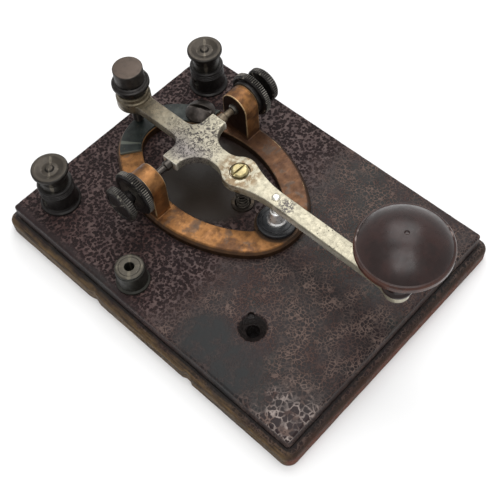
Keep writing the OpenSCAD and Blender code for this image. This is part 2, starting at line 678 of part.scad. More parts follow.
base_board();
key_frame();
rear_stop_plate();
frame_screw();
frame_screw_nut();
anvil_bush();
anvil_lower_washer();
anvil();
anvil_contact();
anvil_nut();
spring_cup();
return_spring();
post_body(post_left_at);  // post_left
post_body(post_right_at);  // post_right
thumb_screw(post_left_at);  // thumb_screw_left
thumb_screw(post_right_at);  // thumb_screw_right
bare_post();
terminal_nuts();
frame_strap();
anvil_strap();
pivot_screw_left();
pivot_screw_right();
pivot_nut_left();
pivot_nut_right();
lever();
pivot_pin_left();
pivot_pin_right();
contact_rivet();
knob();
knob_screw();
spring_screw();
spring_lock_nut();
rear_adjust_screw();
rear_lock_nut();
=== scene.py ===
"""A straight telegraph key on a crazed wooden board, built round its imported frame.

Every size is in millimetres where it is named, and turns into metres as it is used.
"""
import json
from math import asin, atan2, cos, degrees, pi, radians, sin, sqrt, tan

import bmesh
import bpy
from bpy.props import FloatProperty, FloatVectorProperty, IntProperty, PointerProperty
from mathutils import Matrix, Vector, noise


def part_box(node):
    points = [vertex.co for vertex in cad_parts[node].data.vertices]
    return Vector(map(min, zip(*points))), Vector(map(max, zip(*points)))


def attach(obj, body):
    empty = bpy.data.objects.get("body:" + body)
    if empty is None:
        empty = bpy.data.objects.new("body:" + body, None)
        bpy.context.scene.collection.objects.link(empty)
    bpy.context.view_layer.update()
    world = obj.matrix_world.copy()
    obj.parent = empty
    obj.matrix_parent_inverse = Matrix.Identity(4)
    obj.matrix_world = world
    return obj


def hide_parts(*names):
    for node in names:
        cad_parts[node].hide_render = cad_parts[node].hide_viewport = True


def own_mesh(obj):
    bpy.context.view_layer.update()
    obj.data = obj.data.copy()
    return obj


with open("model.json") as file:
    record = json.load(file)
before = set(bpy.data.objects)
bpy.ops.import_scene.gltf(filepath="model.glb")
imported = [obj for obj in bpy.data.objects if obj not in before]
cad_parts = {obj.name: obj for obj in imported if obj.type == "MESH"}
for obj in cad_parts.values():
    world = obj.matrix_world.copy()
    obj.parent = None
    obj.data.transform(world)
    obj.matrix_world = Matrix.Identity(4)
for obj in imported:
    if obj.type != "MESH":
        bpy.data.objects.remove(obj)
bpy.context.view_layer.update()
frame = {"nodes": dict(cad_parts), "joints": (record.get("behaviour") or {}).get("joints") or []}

bl_info = {
    "name": "Straight Telegraph Key",
    "version": (1, 0, 0),
    "blender": (4, 5, 0),
    "location": "View3D > Sidebar > Telegraph Key",
    "description": "Builds an old straight key: board, brass frame, lever, knob, screws and terminals",
    "category": "Object",
}

MM = 0.001
UP = Matrix.Identity(3)
LEVER_CREASE = 26.0  # degrees past which an edge of the lever shades as sharp
LEFT = Matrix(((0, 0, -1), (0, 1, 0), (1, 0, 0)))
RIGHT = Matrix(((0, 0, 1), (0, 1, 0), (-1, 0, 0)))


# ---------------------------------------------------------------------------
# Places and sizes that come from the frame, in millimetres
# ---------------------------------------------------------------------------

def box(node):
    """Lowest and highest corner of a frame node."""
    low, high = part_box(node)
    return low / MM, high / MM


def middle(node):
    """Centre of a frame node's box."""
    low, high = box(node)
    return (low + high) / 2


BOARD_HIGH = box("base_board")[1]
FRAME_LOW, FRAME_HIGH = box("key_frame")
PIVOT = Vector((middle("anvil").x, middle("pivot_nut_left").y, middle("pivot_nut_left").z))
RING = Vector((PIVOT.x, (FRAME_LOW.y + FRAME_HIGH.y) / 2, BOARD_HIGH.z))
CONTACT = middle("contact_rivet")
KNOB_LOW, KNOB_HIGH = box("knob")
KNOB = middle("knob")
SPRING = middle("spring_screw")
REAR = middle("rear_adjust_screw")
LEVER_BASE = box("lever")[0].z
LEVER_TOP = KNOB_LOW.z
KNOB_DOME = 5.9  # height of the knob's crown over its rim
ROD = 2.0  # radius of the threaded rods
ROD_BORE = 2.05
HORN_OUT = box("pivot_nut_right")[0].x - PIVOT.x
PRESS_DEGREES = max(next(j for j in frame["joints"] if j["name"] == "lever_press")["range_deg"])


# ---------------------------------------------------------------------------
# Settings
# ---------------------------------------------------------------------------

def size(name, description, default, low=0.01, high=200.0):
    """A length in millimetres."""
    return FloatProperty(name=name, description=description, default=default, min=low, max=high, unit="NONE")


def colour(name, description, default):
    """A linear colour."""
    return FloatVectorProperty(name=name, description=description, default=default,
                               subtype="COLOR", size=3, min=0.0, max=1.0)


class BoardSettings(bpy.types.PropertyGroup):
    """Sizes and colours of the wooden board"""
    lip_height: size("Lip height", "Height of the lip round the foot", 6.6)
    step: size("Step", "How far the upper layer is set in from the lip", 3.0)
    corner: size("Corner radius", "Corner radius of the lip", 3.6)
    chip_depth: size("Chip depth", "Depth of the chips in the left lip", 0.7, 0.0, 2.0)
    crack_size: size("Crack size", "Width of one island of crazed varnish", 2.0)
    varnish: colour("Varnish", "Colour of the sound varnish", (0.0098, 0.0058, 0.0058))
    crazed: colour("Crazed varnish", "Colour in the cracks of the varnish", (0.115, 0.079, 0.066))
    bare_wood: colour("Bare wood", "Colour of the worn wood at the lip", (0.115, 0.070, 0.030))


class FrameSettings(bpy.types.PropertyGroup):
    """Sizes and colours of the brass frame"""
    band: size("Band width", "Width of the oval ring's band", 9.0)
    thickness: size("Thickness", "Thickness of the oval ring", 3.4)
    end_radius: size("End radius", "Outside radius of the ring's two ends", 20.0)
    bevel: size("Bevel", "Bevel along the ring's outer edge", 1.2)
    horn_thickness: size("Horn thickness", "Thickness of a horn along the pivot", 6.2)
    horn_radius: size("Horn radius", "Radius of a horn's round top", 5.6)
    brass: colour("Brass", "Colour of the clean brass", (0.265, 0.122, 0.042))
    tarnish: colour("Tarnish", "Colour of the brown patches", (0.062, 0.030, 0.018))


class LeverSettings(bpy.types.PropertyGroup):
    """Sizes and colours of the lever"""
    bar_width: size("Bar width", "Width in front of the contact", 5.5)
    neck_width: size("Neck width", "Width behind the spring boss", 6.4)
    arm_width: size("Arm width", "Width of a cross arm", 6.2)
    arm_span: size("Arm span", "Length across both cross arms", 23.8)
    rear_width: size("Rear arm width", "Width of the rear arm", 6.5)
    boss_radius: size("Spring boss radius", "Radius of the boss round the spring screw", 6.15)
    rear_radius: size("Rear boss radius", "Radius of the rear boss", 6.0)
    rear_rise: size("Rear boss rise", "Height of the rear boss over the lever", 2.6)
    knob_pad: size("Knob pad radius", "Radius of the pad under the knob", 4.2)
    bevel: size("Edge bevel", "Worn bevel along the edges", 0.35)
    steel: colour("Plated steel", "Colour of the bright plating", (0.44, 0.405, 0.305))
    stain: colour("Stain", "Colour of the grey mottling", (0.050, 0.043, 0.044))


class TrimSettings(bpy.types.PropertyGroup):
    """Colours of the screws, terminals and knob"""
    black: colour("Blackened brass", "Colour of the near-black fittings", (0.012, 0.0105, 0.010))
    olive: colour("Olive bronze", "Colour of the worn tops of the fittings", (0.052, 0.043, 0.033))
    nickel: colour("Nickel", "Colour of the bright nickel", (0.80, 0.79, 0.76))
    knob: colour("Knob", "Colour of the knob", (0.0120, 0.0044, 0.0036))
    knurl_count: IntProperty(name="Knurls", description="Knurls round a pivot lock nut",
                             default=64, min=12, max=160)


class KeySettings(bpy.types.PropertyGroup):
    """All settings of the telegraph key"""
    board: PointerProperty(type=BoardSettings)
    frame: PointerProperty(type=FrameSettings)
    lever: PointerProperty(type=LeverSettings)
    trim: PointerProperty(type=TrimSettings)


# ---------------------------------------------------------------------------
# Node materials
# ---------------------------------------------------------------------------

class Surface:
    """Builds one node material in the object's own coordinates."""

    def __init__(self, name, metallic=0.0, roughness=0.5, **sockets):
        self.material = bpy.data.materials.new(name)
        self.material.use_nodes = True
        self.tree = self.material.node_tree
        self.shader = self.tree.nodes["Principled BSDF"]
        self.shader.inputs["Metallic"].default_value = metallic
        self.shader.inputs["Roughness"].default_value = roughness
        for socket, value in sockets.items():
            self.shader.inputs[socket.replace("_", " ")].default_value = value
        coordinates = self.tree.nodes.new("ShaderNodeTexCoord")
        self.place = coordinates.outputs["Object"]

    def node(self, kind, inputs=(), output=0, **settings):
        """Adds a node; inputs maps a socket to a value or to another node's output."""
        made = self.tree.nodes.new("ShaderNode" + kind)
        for key, value in settings.items():
            setattr(made, key, value)
        for key, value in dict(inputs).items():
            if isinstance(value, bpy.types.NodeSocket):
                self.tree.links.new(value, made.inputs[key])
            else:
                made.inputs[key].default_value = value
        return made.outputs[output]

    def noise(self, grain, detail=5.0, roughness=0.6, distortion=0.0, place=None):
        """Cloudy noise whose grains are about so many millimetres wide."""
        sockets = {"Vector": place or self.place, "Scale": 1 / (grain * MM), "Detail": detail,
                   "Roughness": roughness, "Distortion": distortion}
        return self.node("TexNoise", sockets, "Fac")

    def cells(self, grain, feature="F1", place=None):
        """Distance field of random cells about so many millimetres wide."""
        return self.node("TexVoronoi", {"Vector": place or self.place, "Scale": 1 / (grain * MM)}, "Distance",
                         feature=feature)

    def stretch(self, x=1.0, y=1.0, z=1.0, place=None):
        """The place scaled along each axis."""
        return self.node("Mapping", {"Vector": place or self.place, "Scale": (x, y, z)})

    def shake(self, grain, amount, place=None):
        """The place moved about by noise, by up to so many millimetres."""
        cloud = self.node("TexNoise", {"Vector": place or self.place, "Scale": 1 / (grain * MM),
                                       "Detail": 3.0}, "Color")
        centred = self.node("VectorMath", {0: cloud, 1: (0.5, 0.5, 0.5)}, operation="SUBTRACT")
        scaled = self.node("VectorMath", {0: centred, "Scale": 2 * amount * MM}, operation="SCALE")
        return self.node("VectorMath", {0: place or self.place, 1: scaled}, operation="ADD")

    def math(self, operation, a, b=0.0, clamp=False):
        """One arithmetic step."""
        return self.node("Math", {0: a, 1: b}, operation=operation, use_clamp=clamp)

    def times(self, *values):
        """The product of the values."""
        product = values[0]
        for value in values[1:]:
            product = self.math("MULTIPLY", product, value)
        return product

    def without(self, value, clamp=False):
        """One less the value."""
        return self.math("SUBTRACT", 1.0, value, clamp)

    def line(self, value, factor, offset):
        """The value times a factor plus an offset."""
        return self.node("Math", {0: value, 1: factor, 2: offset}, operation="MULTIPLY_ADD")

    def fade(self, value, start, end, low=0.0, high=1.0):
        """Runs smoothly from low to high as value goes from start to end."""
        if start > end:
            start, end, low, high = end, start, high, low
        return self.node("MapRange", {"Value": value, "From Min": start, "From Max": end, "To Min": low,
                                      "To Max": high}, interpolation_type="SMOOTHSTEP")

    def axis(self, name):
        """One coordinate, in millimetres."""
        parts = self.tree.nodes.new("ShaderNodeSeparateXYZ")
        self.tree.links.new(self.place, parts.inputs[0])
        return self.math("MULTIPLY", parts.outputs[name], 1 / MM)

    def spot(self, x, y, inner, outer):
        """One inside a round patch on the X-Y plane, none outside it, in millimetres."""
        across = self.math("SUBTRACT", self.axis("X"), x)
        along = self.math("SUBTRACT", self.axis("Y"), y)
        squares = self.math("ADD", self.math("MULTIPLY", across, across), self.math("MULTIPLY", along, along))
        return self.fade(self.math("SQRT", squares), outer, inner)

    def radius(self):
        """Distance from the piece's own Z axis, in millimetres."""
        x, y = self.axis("X"), self.axis("Y")
        return self.math("SQRT", self.math("ADD", self.times(x, x), self.times(y, y)))

    def rings(self, scale, detail):
        """Fine rings round the piece's own Z axis, as a lathe leaves them."""
        place = self.node("CombineXYZ", {"X": self.times(self.radius(), 0.009),
                                         "Z": self.times(self.axis("Z"), 0.009)})
        return self.node("TexNoise", {"Vector": place, "Scale": scale, "Detail": detail}, "Fac")

    def mix(self, amount, first, second):
        """Mixes two colours."""
        made = self.tree.nodes.new("ShaderNodeMix")
        made.data_type = "RGBA"
        made.clamp_factor = True
        for index, value in ((0, amount), (6, first), (7, second)):
            if isinstance(value, bpy.types.NodeSocket):
                self.tree.links.new(value, made.inputs[index])
            else:
                made.inputs[index].default_value = value if index == 0 else rgba(value)
        return made.outputs[2]

    def bump(self, height, depth, normal=None):
        """Relief of so many millimetres where height runs from 0 to 1."""
        inputs = {"Height": height, "Distance": depth * MM, "Strength": 1.0}
        if normal is not None:
            inputs["Normal"] = normal
        return self.node("Bump", inputs)

    def edges(self, low=0.52, high=0.62):
        """One where the mesh is sharply convex, as on a worn edge."""
        geometry = self.tree.nodes.new("ShaderNodeNewGeometry")
        return self.fade(geometry.outputs["Pointiness"], low, high)

    def finish(self, base=None, roughness=None, normal=None):
        """Links what varies over the surface to the shader and gives the material."""
        for socket, value in (("Base Color", base), ("Roughness", roughness), ("Normal", normal)):
            if value is not None:
                self.tree.links.new(value, self.shader.inputs[socket])
        return self.material


def rgba(values):
    """A colour with full alpha."""
    return (*tuple(values)[:3], 1.0)


def shade(values, factor):
    """A colour made lighter or darker."""
    return tuple(min(1.0, v * factor) for v in tuple(values)[:3])


# where the varnish is smooth, where its cracks are lightest, and how far the painted shade of a screw hole
# reaches
SMOOTH_PATCHES = [(-39.5, -22), (-41, -36)]
LIGHT_CORNER = (-43, -59)
HOLE_SHADE_REACH = (6.2, 7.0)


def crazed_top(s, look):
    """Colour of the board's upper face, and where its cracks, pits and screw holes are."""
    x, y, z = s.axis("X"), s.axis("Y"), s.axis("Z")
    top_z = BOARD_HIGH.z
    wormy = s.shake(0.9, 0.35, s.shake(2.6, 0.8))
    near_corner = s.times(s.spot(*LIGHT_CORNER, 6, 15), s.fade(z, top_z - 1.4, top_z - 0.6))
    islands = s.fade(s.cells(look.crack_size, "DISTANCE_TO_EDGE", wormy), 0.02, 0.16)
    fine = s.fade(s.cells(look.crack_size * 0.62, "DISTANCE_TO_EDGE", wormy), 0.02, 0.17)
    islands = s.math("ADD", s.times(islands, near_corner), s.times(fine, s.without(near_corner)))
    blisters = s.line(s.noise(1.5, 3), 0.9, s.cells(look.crack_size * 0.55, "F1", wormy))
    pits = s.fade(blisters, 1.04, 0.86)
    rims = s.fade(blisters, 1.02, 1.16)
    patch = s.math("MAXIMUM", *[s.spot(*at, 6, 12) for at in SMOOTH_PATCHES])
    patch = s.times(patch, s.fade(s.noise(5, 5), 0.32, 0.60, 0.15, 1.0))
    hollow_floor = s.spot(PIVOT.x, RING.y, 15, 21)
    left_band = s.fade(s.line(s.noise(9, 3), 4.0, x), -42.0, -45.0)
    left_band = s.times(left_band, s.fade(y, -8, 12, 0.0, 0.85))
    smooth = s.math("MAXIMUM", s.math("MAXIMUM", patch, hollow_floor), left_band)
    calm = s.without(smooth, clamp=True)
    # towards the knob the cracks are an open light net, round the frame the varnish is pitted
    region = s.fade(s.line(s.noise(14, 3), 26.0, y), 14.0, -4.0)
    net = s.times(region, calm, s.fade(s.noise(5, 5), 0.36, 0.58, 0.3, 1.0))
    open_crack = s.times(s.without(islands), net)
    around = s.times(s.without(region, clamp=True), calm)
    pitted = s.times(around, pits)
    dark = s.mix(s.fade(s.noise(20, 4), 0.40, 0.60), look.varnish, (0.0145, 0.0070, 0.0074))
    dark = s.mix(s.fade(s.noise(27, 3), 0.52, 0.64), dark, (0.0100, 0.0100, 0.0092))
    ground = s.mix(s.fade(s.noise(8, 4), 0.36, 0.62), (0.024, 0.0108, 0.0102), (0.038, 0.0195, 0.0184))
    top = s.mix(around, dark, ground)
    top = s.mix(s.times(pitted, 0.8), top, (0.0060, 0.0038, 0.0040))
    rimmed = s.times(rims, around, s.fade(s.noise(3.0, 3), 0.42, 0.60, 0.1, 0.75))
    top = s.mix(rimmed, top, (0.082, 0.052, 0.046))
    light = s.mix(s.fade(s.noise(11, 3), 0.42, 0.62), look.crazed, (0.062, 0.036, 0.030))
    corner = s.times(near_corner, s.fade(s.noise(4, 4), 0.40, 0.56))
    light = s.mix(corner, light, (0.260, 0.215, 0.195))
    top = s.mix(open_crack, top, light)
    flecks = s.times(s.fade(s.noise(0.6, 2, 0.5), 0.62, 0.72), calm)
    top = s.mix(s.times(flecks, 0.3), top, look.crazed)
    top = s.mix(s.times(patch, 0.9), top, (0.0105, 0.0118, 0.0120))
    top = s.mix(s.times(hollow_floor, 0.9), top, (0.0180, 0.0125, 0.0085))
    holes = s.math("MAXIMUM", *[s.spot(*at, *HOLE_SHADE_REACH) for at in SCREW_HOLES])
    # painted shade on the walls of the screw holes
    hole_shade = s.times(holes, s.fade(z, top_z - 0.15, top_z - 0.6))
    top = s.mix(s.times(hole_shade, 0.9), top, (0.0050, 0.0038, 0.0034))
    return top, open_crack, pitted, holes


def varnished_wood(look):
    """Dark varnish crazed into small islands on top, worn to bare wood along the lip."""
    s = Surface("crazed_varnish", Specular_IOR_Level=0.2)
    x, y, z = s.axis("X"), s.axis("Y"), s.axis("Z")
    lip = look.lip_height
    top, open_crack, pitted, holes = crazed_top(s, look)
    # the lip is worn: olive brown grain on the left, reddish brown along the foot of the front
    grain = s.noise(0.8, 4, 0.6, place=s.stretch(1, 0.08, 1))
    worn = s.mix(s.fade(grain, 0.35, 0.65), look.bare_wood, (0.026, 0.0165, 0.0100))
    front = s.fade(y, 2.7 - BOARD_HIGH.y, 0.7 - BOARD_HIGH.y)
    cross_grain = s.noise(0.8, 4, 0.6, place=s.stretch(0.08, 1, 1))
    front_wood = s.mix(s.fade(cross_grain, 0.35, 0.65), (0.020, 0.0135, 0.0085), (0.034, 0.0165, 0.0100))
    foot_red = s.times(s.fade(z, lip - 0.4, lip - 4.0), s.fade(s.noise(5, 3), 0.32, 0.56, 0.25, 1.0))
    front_wood = s.mix(foot_red, front_wood, (0.11, 0.032, 0.016))
    low = s.fade(s.line(s.noise(4, 4), 3.0, z), lip + 2.2, lip)
    base = s.mix(s.times(low, s.fade(x, 3.8 - BOARD_HIGH.x, 1.6 - BOARD_HIGH.x)), top, worn)
    base = s.mix(s.times(low, front), base, front_wood)
    # painted shade in the groove between the lip and the upper layer
    groove_shade = s.times(s.fade(z, lip + 1.1, lip + 0.5), s.fade(z, lip - 0.1, lip + 0.2))
    base = s.mix(s.times(groove_shade, 0.8), base, (0.006, 0.0045, 0.004))
    # painted highlight along the board's edges, kept below the top face and out of the screw holes
    below_top = s.fade(z, BOARD_HIGH.z - 0.02, BOARD_HIGH.z - 0.07)
    edge_highlight = s.times(s.edges(0.52, 0.60), s.fade(s.noise(3, 4), 0.42, 0.58), below_top, s.without(holes))
    base = s.mix(s.times(edge_highlight, 0.6), base, (0.15, 0.105, 0.080))
    under = s.fade(z, 0.6, 0.1)
    base = s.mix(under, base, s.mix(s.fade(grain, 0.3, 0.7), (0.13, 0.075, 0.04), (0.085, 0.048, 0.028)))
    relief = s.bump(s.without(s.math("MAXIMUM", open_crack, pitted)), 0.13)
    relief = s.bump(s.noise(1.6, 4, 0.6, 0.6), 0.07, relief)
    rough = s.line(s.noise(5, 4), 0.24, s.line(open_crack, 0.25, 0.30))
    rough = s.line(pitted, 0.4, s.line(low, 0.15, rough))
    return s.finish(base=base, roughness=rough, normal=relief)


def aged_brass(look):
    """Copper-orange brass with brown patches, darker on the far side, its edges worn bright with a painted
    highlight, and painted shade on the ring's sides and the horns' inner faces.
    """
    s = Surface("aged_brass", metallic=0.8)
    x, z = s.axis("X"), s.axis("Z")
    patches = s.fade(s.noise(6.5, 6, 0.62, 0.4), 0.50, 0.66)
    far = s.fade(x, PIVOT.x - 2, PIVOT.x + 14)
    low = s.fade(z, PIVOT.z - 1, BOARD_HIGH.z + 3)
    ring = s.fade(z, BOARD_HIGH.z + 6, BOARD_HIGH.z + 4)
    far_ring = s.times(far, ring)
    base = s.mix(s.fade(s.noise(3.2, 5, 0.6), 0.42, 0.64), look.brass, shade(look.brass, 0.58))
    base = s.mix(s.times(low, s.without(ring), 0.75), base, (0.095, 0.048, 0.022))
    base = s.mix(s.times(far_ring, 0.85), base, (0.060, 0.030, 0.019))
    base = s.mix(s.times(patches, 0.8), base, look.tarnish)
    grey = s.times(s.fade(s.noise(5.0, 5, 0.6, 0.5), 0.54, 0.64), ring)
    base = s.mix(s.times(grey, 0.55), base, (0.075, 0.062, 0.052))
    streaks = s.fade(s.noise(1.4, 4, 0.6, place=s.stretch(0.35, 1, 1)), 0.50, 0.66)
    base = s.mix(s.times(streaks, 0.45), base, (0.14, 0.066, 0.030))
    spots = s.fade(s.noise(0.9, 3, 0.6), 0.66, 0.72)
    base = s.mix(s.times(spots, 0.8), base, (0.05, 0.028, 0.018))
    from_middle = s.math("ABSOLUTE", s.math("SUBTRACT", x, PIVOT.x))
    # painted shade on the horns' inner faces, between the horns and the lever
    inner = s.math("SUBTRACT", HORN_OUT - look.horn_thickness + 0.2, from_middle)
    inner = s.times(s.fade(inner, -0.1, 0.1), s.without(ring))
    base = s.mix(s.times(inner, 0.95), base, (0.020, 0.0095, 0.0070))
    ring_top, half_horn = RING.z + look.thickness, look.horn_thickness / 2
    # painted shade on the ring's sides below its top
    ring_side_shade = s.times(ring, s.fade(z, ring_top - 0.25, ring_top - 0.6))
    base = s.mix(s.times(ring_side_shade, 0.85), base, (0.035, 0.019, 0.011))
    ring_edge = s.times(s.edges(0.515, 0.58), s.fade(z, ring_top - 0.03, ring_top - 0.06), s.without(ring_side_shade))
    along = s.math("SUBTRACT", s.axis("Y"), PIVOT.y)
    above = s.math("MAXIMUM", s.math("SUBTRACT", z, PIVOT.z), 0.0)
    reach = s.math("SQRT", s.math("ADD", s.times(along, along), s.times(above, above)))
    across = s.math("ABSOLUTE", s.line(from_middle, 1.0, half_horn - HORN_OUT))
    horn_edge = s.times(s.fade(reach, look.horn_radius - 0.42, look.horn_radius - 0.30),
                        s.fade(across, half_horn - 0.34, half_horn - 0.22))
    # edges of the ring's top and of the horns' round tops: rubbed brass with a painted highlight along them
    edge = s.math("MAXIMUM", s.times(ring_edge, ring), s.times(horn_edge, s.without(ring)))
    base = s.mix(s.times(edge, s.fade(s.noise(2.2, 4), 0.36, 0.56, 0.35, 0.9)), base, (0.60, 0.42, 0.23))
    base = s.mix(s.times(s.spot(PIVOT.x, CONTACT.y, 7.4, 8.6), 0.9), base, (0.030, 0.020, 0.014))
    rough = s.fade(s.noise(2.4, 5, 0.65), 0.3, 0.7, 0.34, 0.58)
    scratches = s.noise(0.35, 3, 0.6, place=s.stretch(0.12, 1, 1))
    relief = s.bump(scratches, 0.012)
    relief = s.bump(s.noise(1.8, 5, 0.6), 0.05, relief)
    return s.finish(base=base, roughness=rough, normal=relief)


def plated_steel(look):
    """Cream plating gone grey and mottled at the cross, tan to the rear and stained round the boss."""
    s = Surface("worn_plating", metallic=0.7)
    x, y = s.axis("X"), s.axis("Y")
    base = s.mix(s.fade(s.noise(2.6, 5, 0.6), 0.38, 0.66), look.steel, shade(look.steel, 0.80))
    speck = s.fade(s.noise(1.15, 4, 0.7, 1.2), 0.49, 0.57)
    cross = s.spot(PIVOT.x, PIVOT.y, 5, 15)
    mottle = s.times(speck, s.line(cross, 0.78, 0.16))
    left = s.times(cross, s.fade(x, PIVOT.x + 2, PIVOT.x - 6))
    base = s.mix(s.times(cross, 0.45), base, (0.165, 0.148, 0.122))
    base = s.mix(s.times(left, 0.7), base, (0.125, 0.110, 0.122))
    base = s.mix(mottle, base, look.stain)
    behind = s.fade(s.line(s.noise(4, 4), 8.0, y), PIVOT.y + 6, PIVOT.y + 24)
    grime = s.mix(s.fade(s.noise(2.2, 5, 0.65), 0.40, 0.62), (0.125, 0.098, 0.062), (0.042, 0.031, 0.019))
    base = s.mix(s.times(behind, 0.88), base, grime)
    boss = s.times(s.spot(SPRING.x, SPRING.y, 5.5, 9), s.fade(s.noise(2.0, 4, 0.6), 0.40, 0.56))
    base = s.mix(s.times(boss, 0.8), base, (0.150, 0.090, 0.038))
    pitted = s.spot(PIVOT.x - 0.4, CONTACT.y - 4.8, 1.6, 4.2)
    pitted = s.times(pitted, s.fade(s.noise(0.9, 4, 0.65), 0.42, 0.54))
    base = s.mix(s.times(pitted, 0.9), base, (0.060, 0.053, 0.056))
    dots = s.fade(s.cells(1.2, "F1", s.shake(0.6, 0.2)), 0.24, 0.14)
    sparse = s.times(dots, s.fade(s.noise(4.2, 2), 0.46, 0.56))
    base = s.mix(s.times(sparse, 0.85), base, (0.035, 0.028, 0.022))
    # light along the lever's top edges: rubbed plating and a painted highlight
    worn = s.times(s.edges(0.52, 0.60), s.fade(s.axis("Z"), LEVER_TOP - 0.02, LEVER_TOP - 0.06))
    base = s.mix(s.times(worn, 0.8), base, (0.78, 0.75, 0.66))
    rough = s.fade(s.noise(1.8, 4), 0.3, 0.7, 0.34, 0.54)
    rough = s.math("ADD", rough, s.times(mottle, 0.2))
    relief = s.bump(s.without(s.math("MAXIMUM", mottle, sparse)), 0.035)
    relief = s.bump(s.noise(0.7, 4, 0.6), 0.02, relief)
    return s.finish(base=base, roughness=rough, normal=relief)


def turned_metal(name, body, worn, metallic=0.75, rough=(0.30, 0.5), wear=0.5, top=None):
    """Lathe-turned metal: fine rings round the piece's own Z, patches, and edges rubbed to a second colour."""
    s = Surface(name, metallic=metallic)
    rings = s.rings(900.0, 3.0)
    base = s.mix(s.fade(s.noise(1.9, 5, 0.62), 0.42, 0.64), body, shade(body, 1.7))
    if top is not None:
        facing = s.tree.nodes.new("ShaderNodeNewGeometry").outputs["Normal"]
        upward = s.node("VectorMath", {0: facing, 1: (0, 0, 1)}, "Value", operation="DOT_PRODUCT")
        faded = s.fade(s.noise(2.6, 4), 0.30, 0.52, 0.6, 1.0)
        base = s.mix(s.times(s.fade(upward, 0.75, 0.95), faded), base, top)
    rub = s.times(s.edges(0.515, 0.60), s.fade(s.noise(1.2, 4), 0.35, 0.55, 0.35, 1.0))
    base = s.mix(s.times(rub, wear), base, worn)
    roughness = s.fade(s.noise(1.5, 4), 0.3, 0.7, *rough)
    relief = s.bump(rings, 0.012)
    relief = s.bump(s.noise(0.9, 4, 0.6), 0.018, relief)
    return s.finish(base=base, roughness=roughness, normal=relief)


def knob_composition(look):
    """Dark brown moulded composition with a worn gloss and lathe marks on its crown."""
    s = Surface("knob_composition", Coat_Weight=0.2, Coat_Roughness=0.25, Specular_IOR_Level=0.25)
    rings = s.rings(260.0, 4.0)
    base = s.mix(s.fade(s.noise(5, 5, 0.6), 0.4, 0.65), look.knob, shade(look.knob, 1.8))
    rim_z = KNOB_HIGH.z - KNOB_LOW.z - KNOB_DOME
    side = s.times(s.fade(s.radius(), 12.6, 14.0), s.fade(s.axis("Z"), rim_z + 0.3, rim_z - 0.5))
    base = s.mix(s.times(side, s.fade(s.noise(3, 4), 0.38, 0.58, 0.35, 0.9)), base, (0.060, 0.018, 0.009))
    # painted reflection of the pale floor along the knob's rounded edges
    base = s.mix(s.times(s.edges(0.515, 0.57), 0.7), base, (0.26, 0.20, 0.18))
    rough = s.fade(s.noise(2.0, 5, 0.65), 0.3, 0.7, 0.24, 0.42)
    relief = s.bump(rings, 0.010)
    relief = s.bump(s.noise(1.1, 4, 0.6), 0.010, relief)
    return s.finish(base=base, roughness=rough, normal=relief)


def black_rubber():
    """Hard rubber, near black with faint grey mottling, and a painted highlight along its edges."""
    s = Surface("hard_rubber", Specular_IOR_Level=0.3)
    base = s.mix(s.fade(s.noise(2.2, 5, 0.6), 0.4, 0.62), (0.006, 0.006, 0.007), (0.012, 0.0125, 0.014))
    # painted highlight round the bush's edges
    base = s.mix(s.times(s.edges(0.515, 0.6), 0.6), base, (0.085, 0.090, 0.096))
    rough = s.fade(s.noise(1.6, 4), 0.3, 0.7, 0.24, 0.42)
    return s.finish(base=base, roughness=rough, normal=s.bump(s.noise(0.8, 4, 0.6), 0.015))


def oxidised_plate():
    """Green-black plate with rubbed lighter patches."""
    s = Surface("oxidised_plate", metallic=0.35)
    base = s.mix(s.fade(s.noise(5.0, 5, 0.6), 0.42, 0.64), (0.009, 0.0125, 0.0112), (0.018, 0.023, 0.0200))
    base = s.mix(s.times(s.edges(0.515, 0.6), 0.7), base, (0.12, 0.13, 0.105))
    base = s.mix(s.times(s.fade(s.noise(1.3, 4), 0.62, 0.70), 0.5), base, (0.10, 0.075, 0.045))
    rough = s.fade(s.noise(2.0, 5), 0.3, 0.7, 0.36, 0.58)
    return s.finish(base=base, roughness=rough, normal=s.bump(s.noise(1.0, 5, 0.6), 0.03))


def plain_brass():
    """Yellow brass of the nuts and straps under the board."""
    s = Surface("yellow_brass", metallic=0.95)
    base = s.mix(s.fade(s.noise(3.0, 5, 0.6), 0.42, 0.64), (0.60, 0.40, 0.13), (0.30, 0.18, 0.065))
    brushed = s.noise(0.5, 3, 0.5, place=s.stretch(0.1, 1, 1))
    return s.finish(base=base, roughness=s.fade(s.noise(2.0, 4), 0.3, 0.7, 0.28, 0.45),
                    normal=s.bump(brushed, 0.01))


# ---------------------------------------------------------------------------
# Mesh building
# ---------------------------------------------------------------------------

def arc(centre, radius, start, end, steps):
    """Points along an arc, with its angles in degrees."""
    return [(centre[0] + radius * cos(radians(start + (end - start) * i / steps)),
             centre[1] + radius * sin(radians(start + (end - start) * i / steps))) for i in range(steps + 1)]


def rounded(profile, steps=4):
    """A profile whose points may carry a third number, the radius that rounds that corner."""
    out = []
    for i, point in enumerate(profile):
        here = Vector(point[:2])
        fillet = point[2] if len(point) > 2 else 0.0
        if fillet == 0.0 or i in (0, len(profile) - 1):
            out.append(here)
            continue
        back = Vector(profile[i - 1][:2]) - here
        on = Vector(profile[i + 1][:2]) - here
        half = back.angle(on) / 2
        run = min(fillet / tan(half), 0.45 * back.length, 0.45 * on.length)
        radius = run * tan(half)
        a, b = here + back.normalized() * run, here + on.normalized() * run
        centre = here + (back.normalized() + on.normalized()).normalized() * (radius / sin(half))
        for k in range(steps + 1):
            out.append(centre + ((a - centre).lerp(b - centre, k / steps)).normalized() * radius)
    return out


def lowered(profile, amount):
    """The same profile, that much lower."""
    return [(p[0], p[1] - amount, *p[2:]) for p in profile]


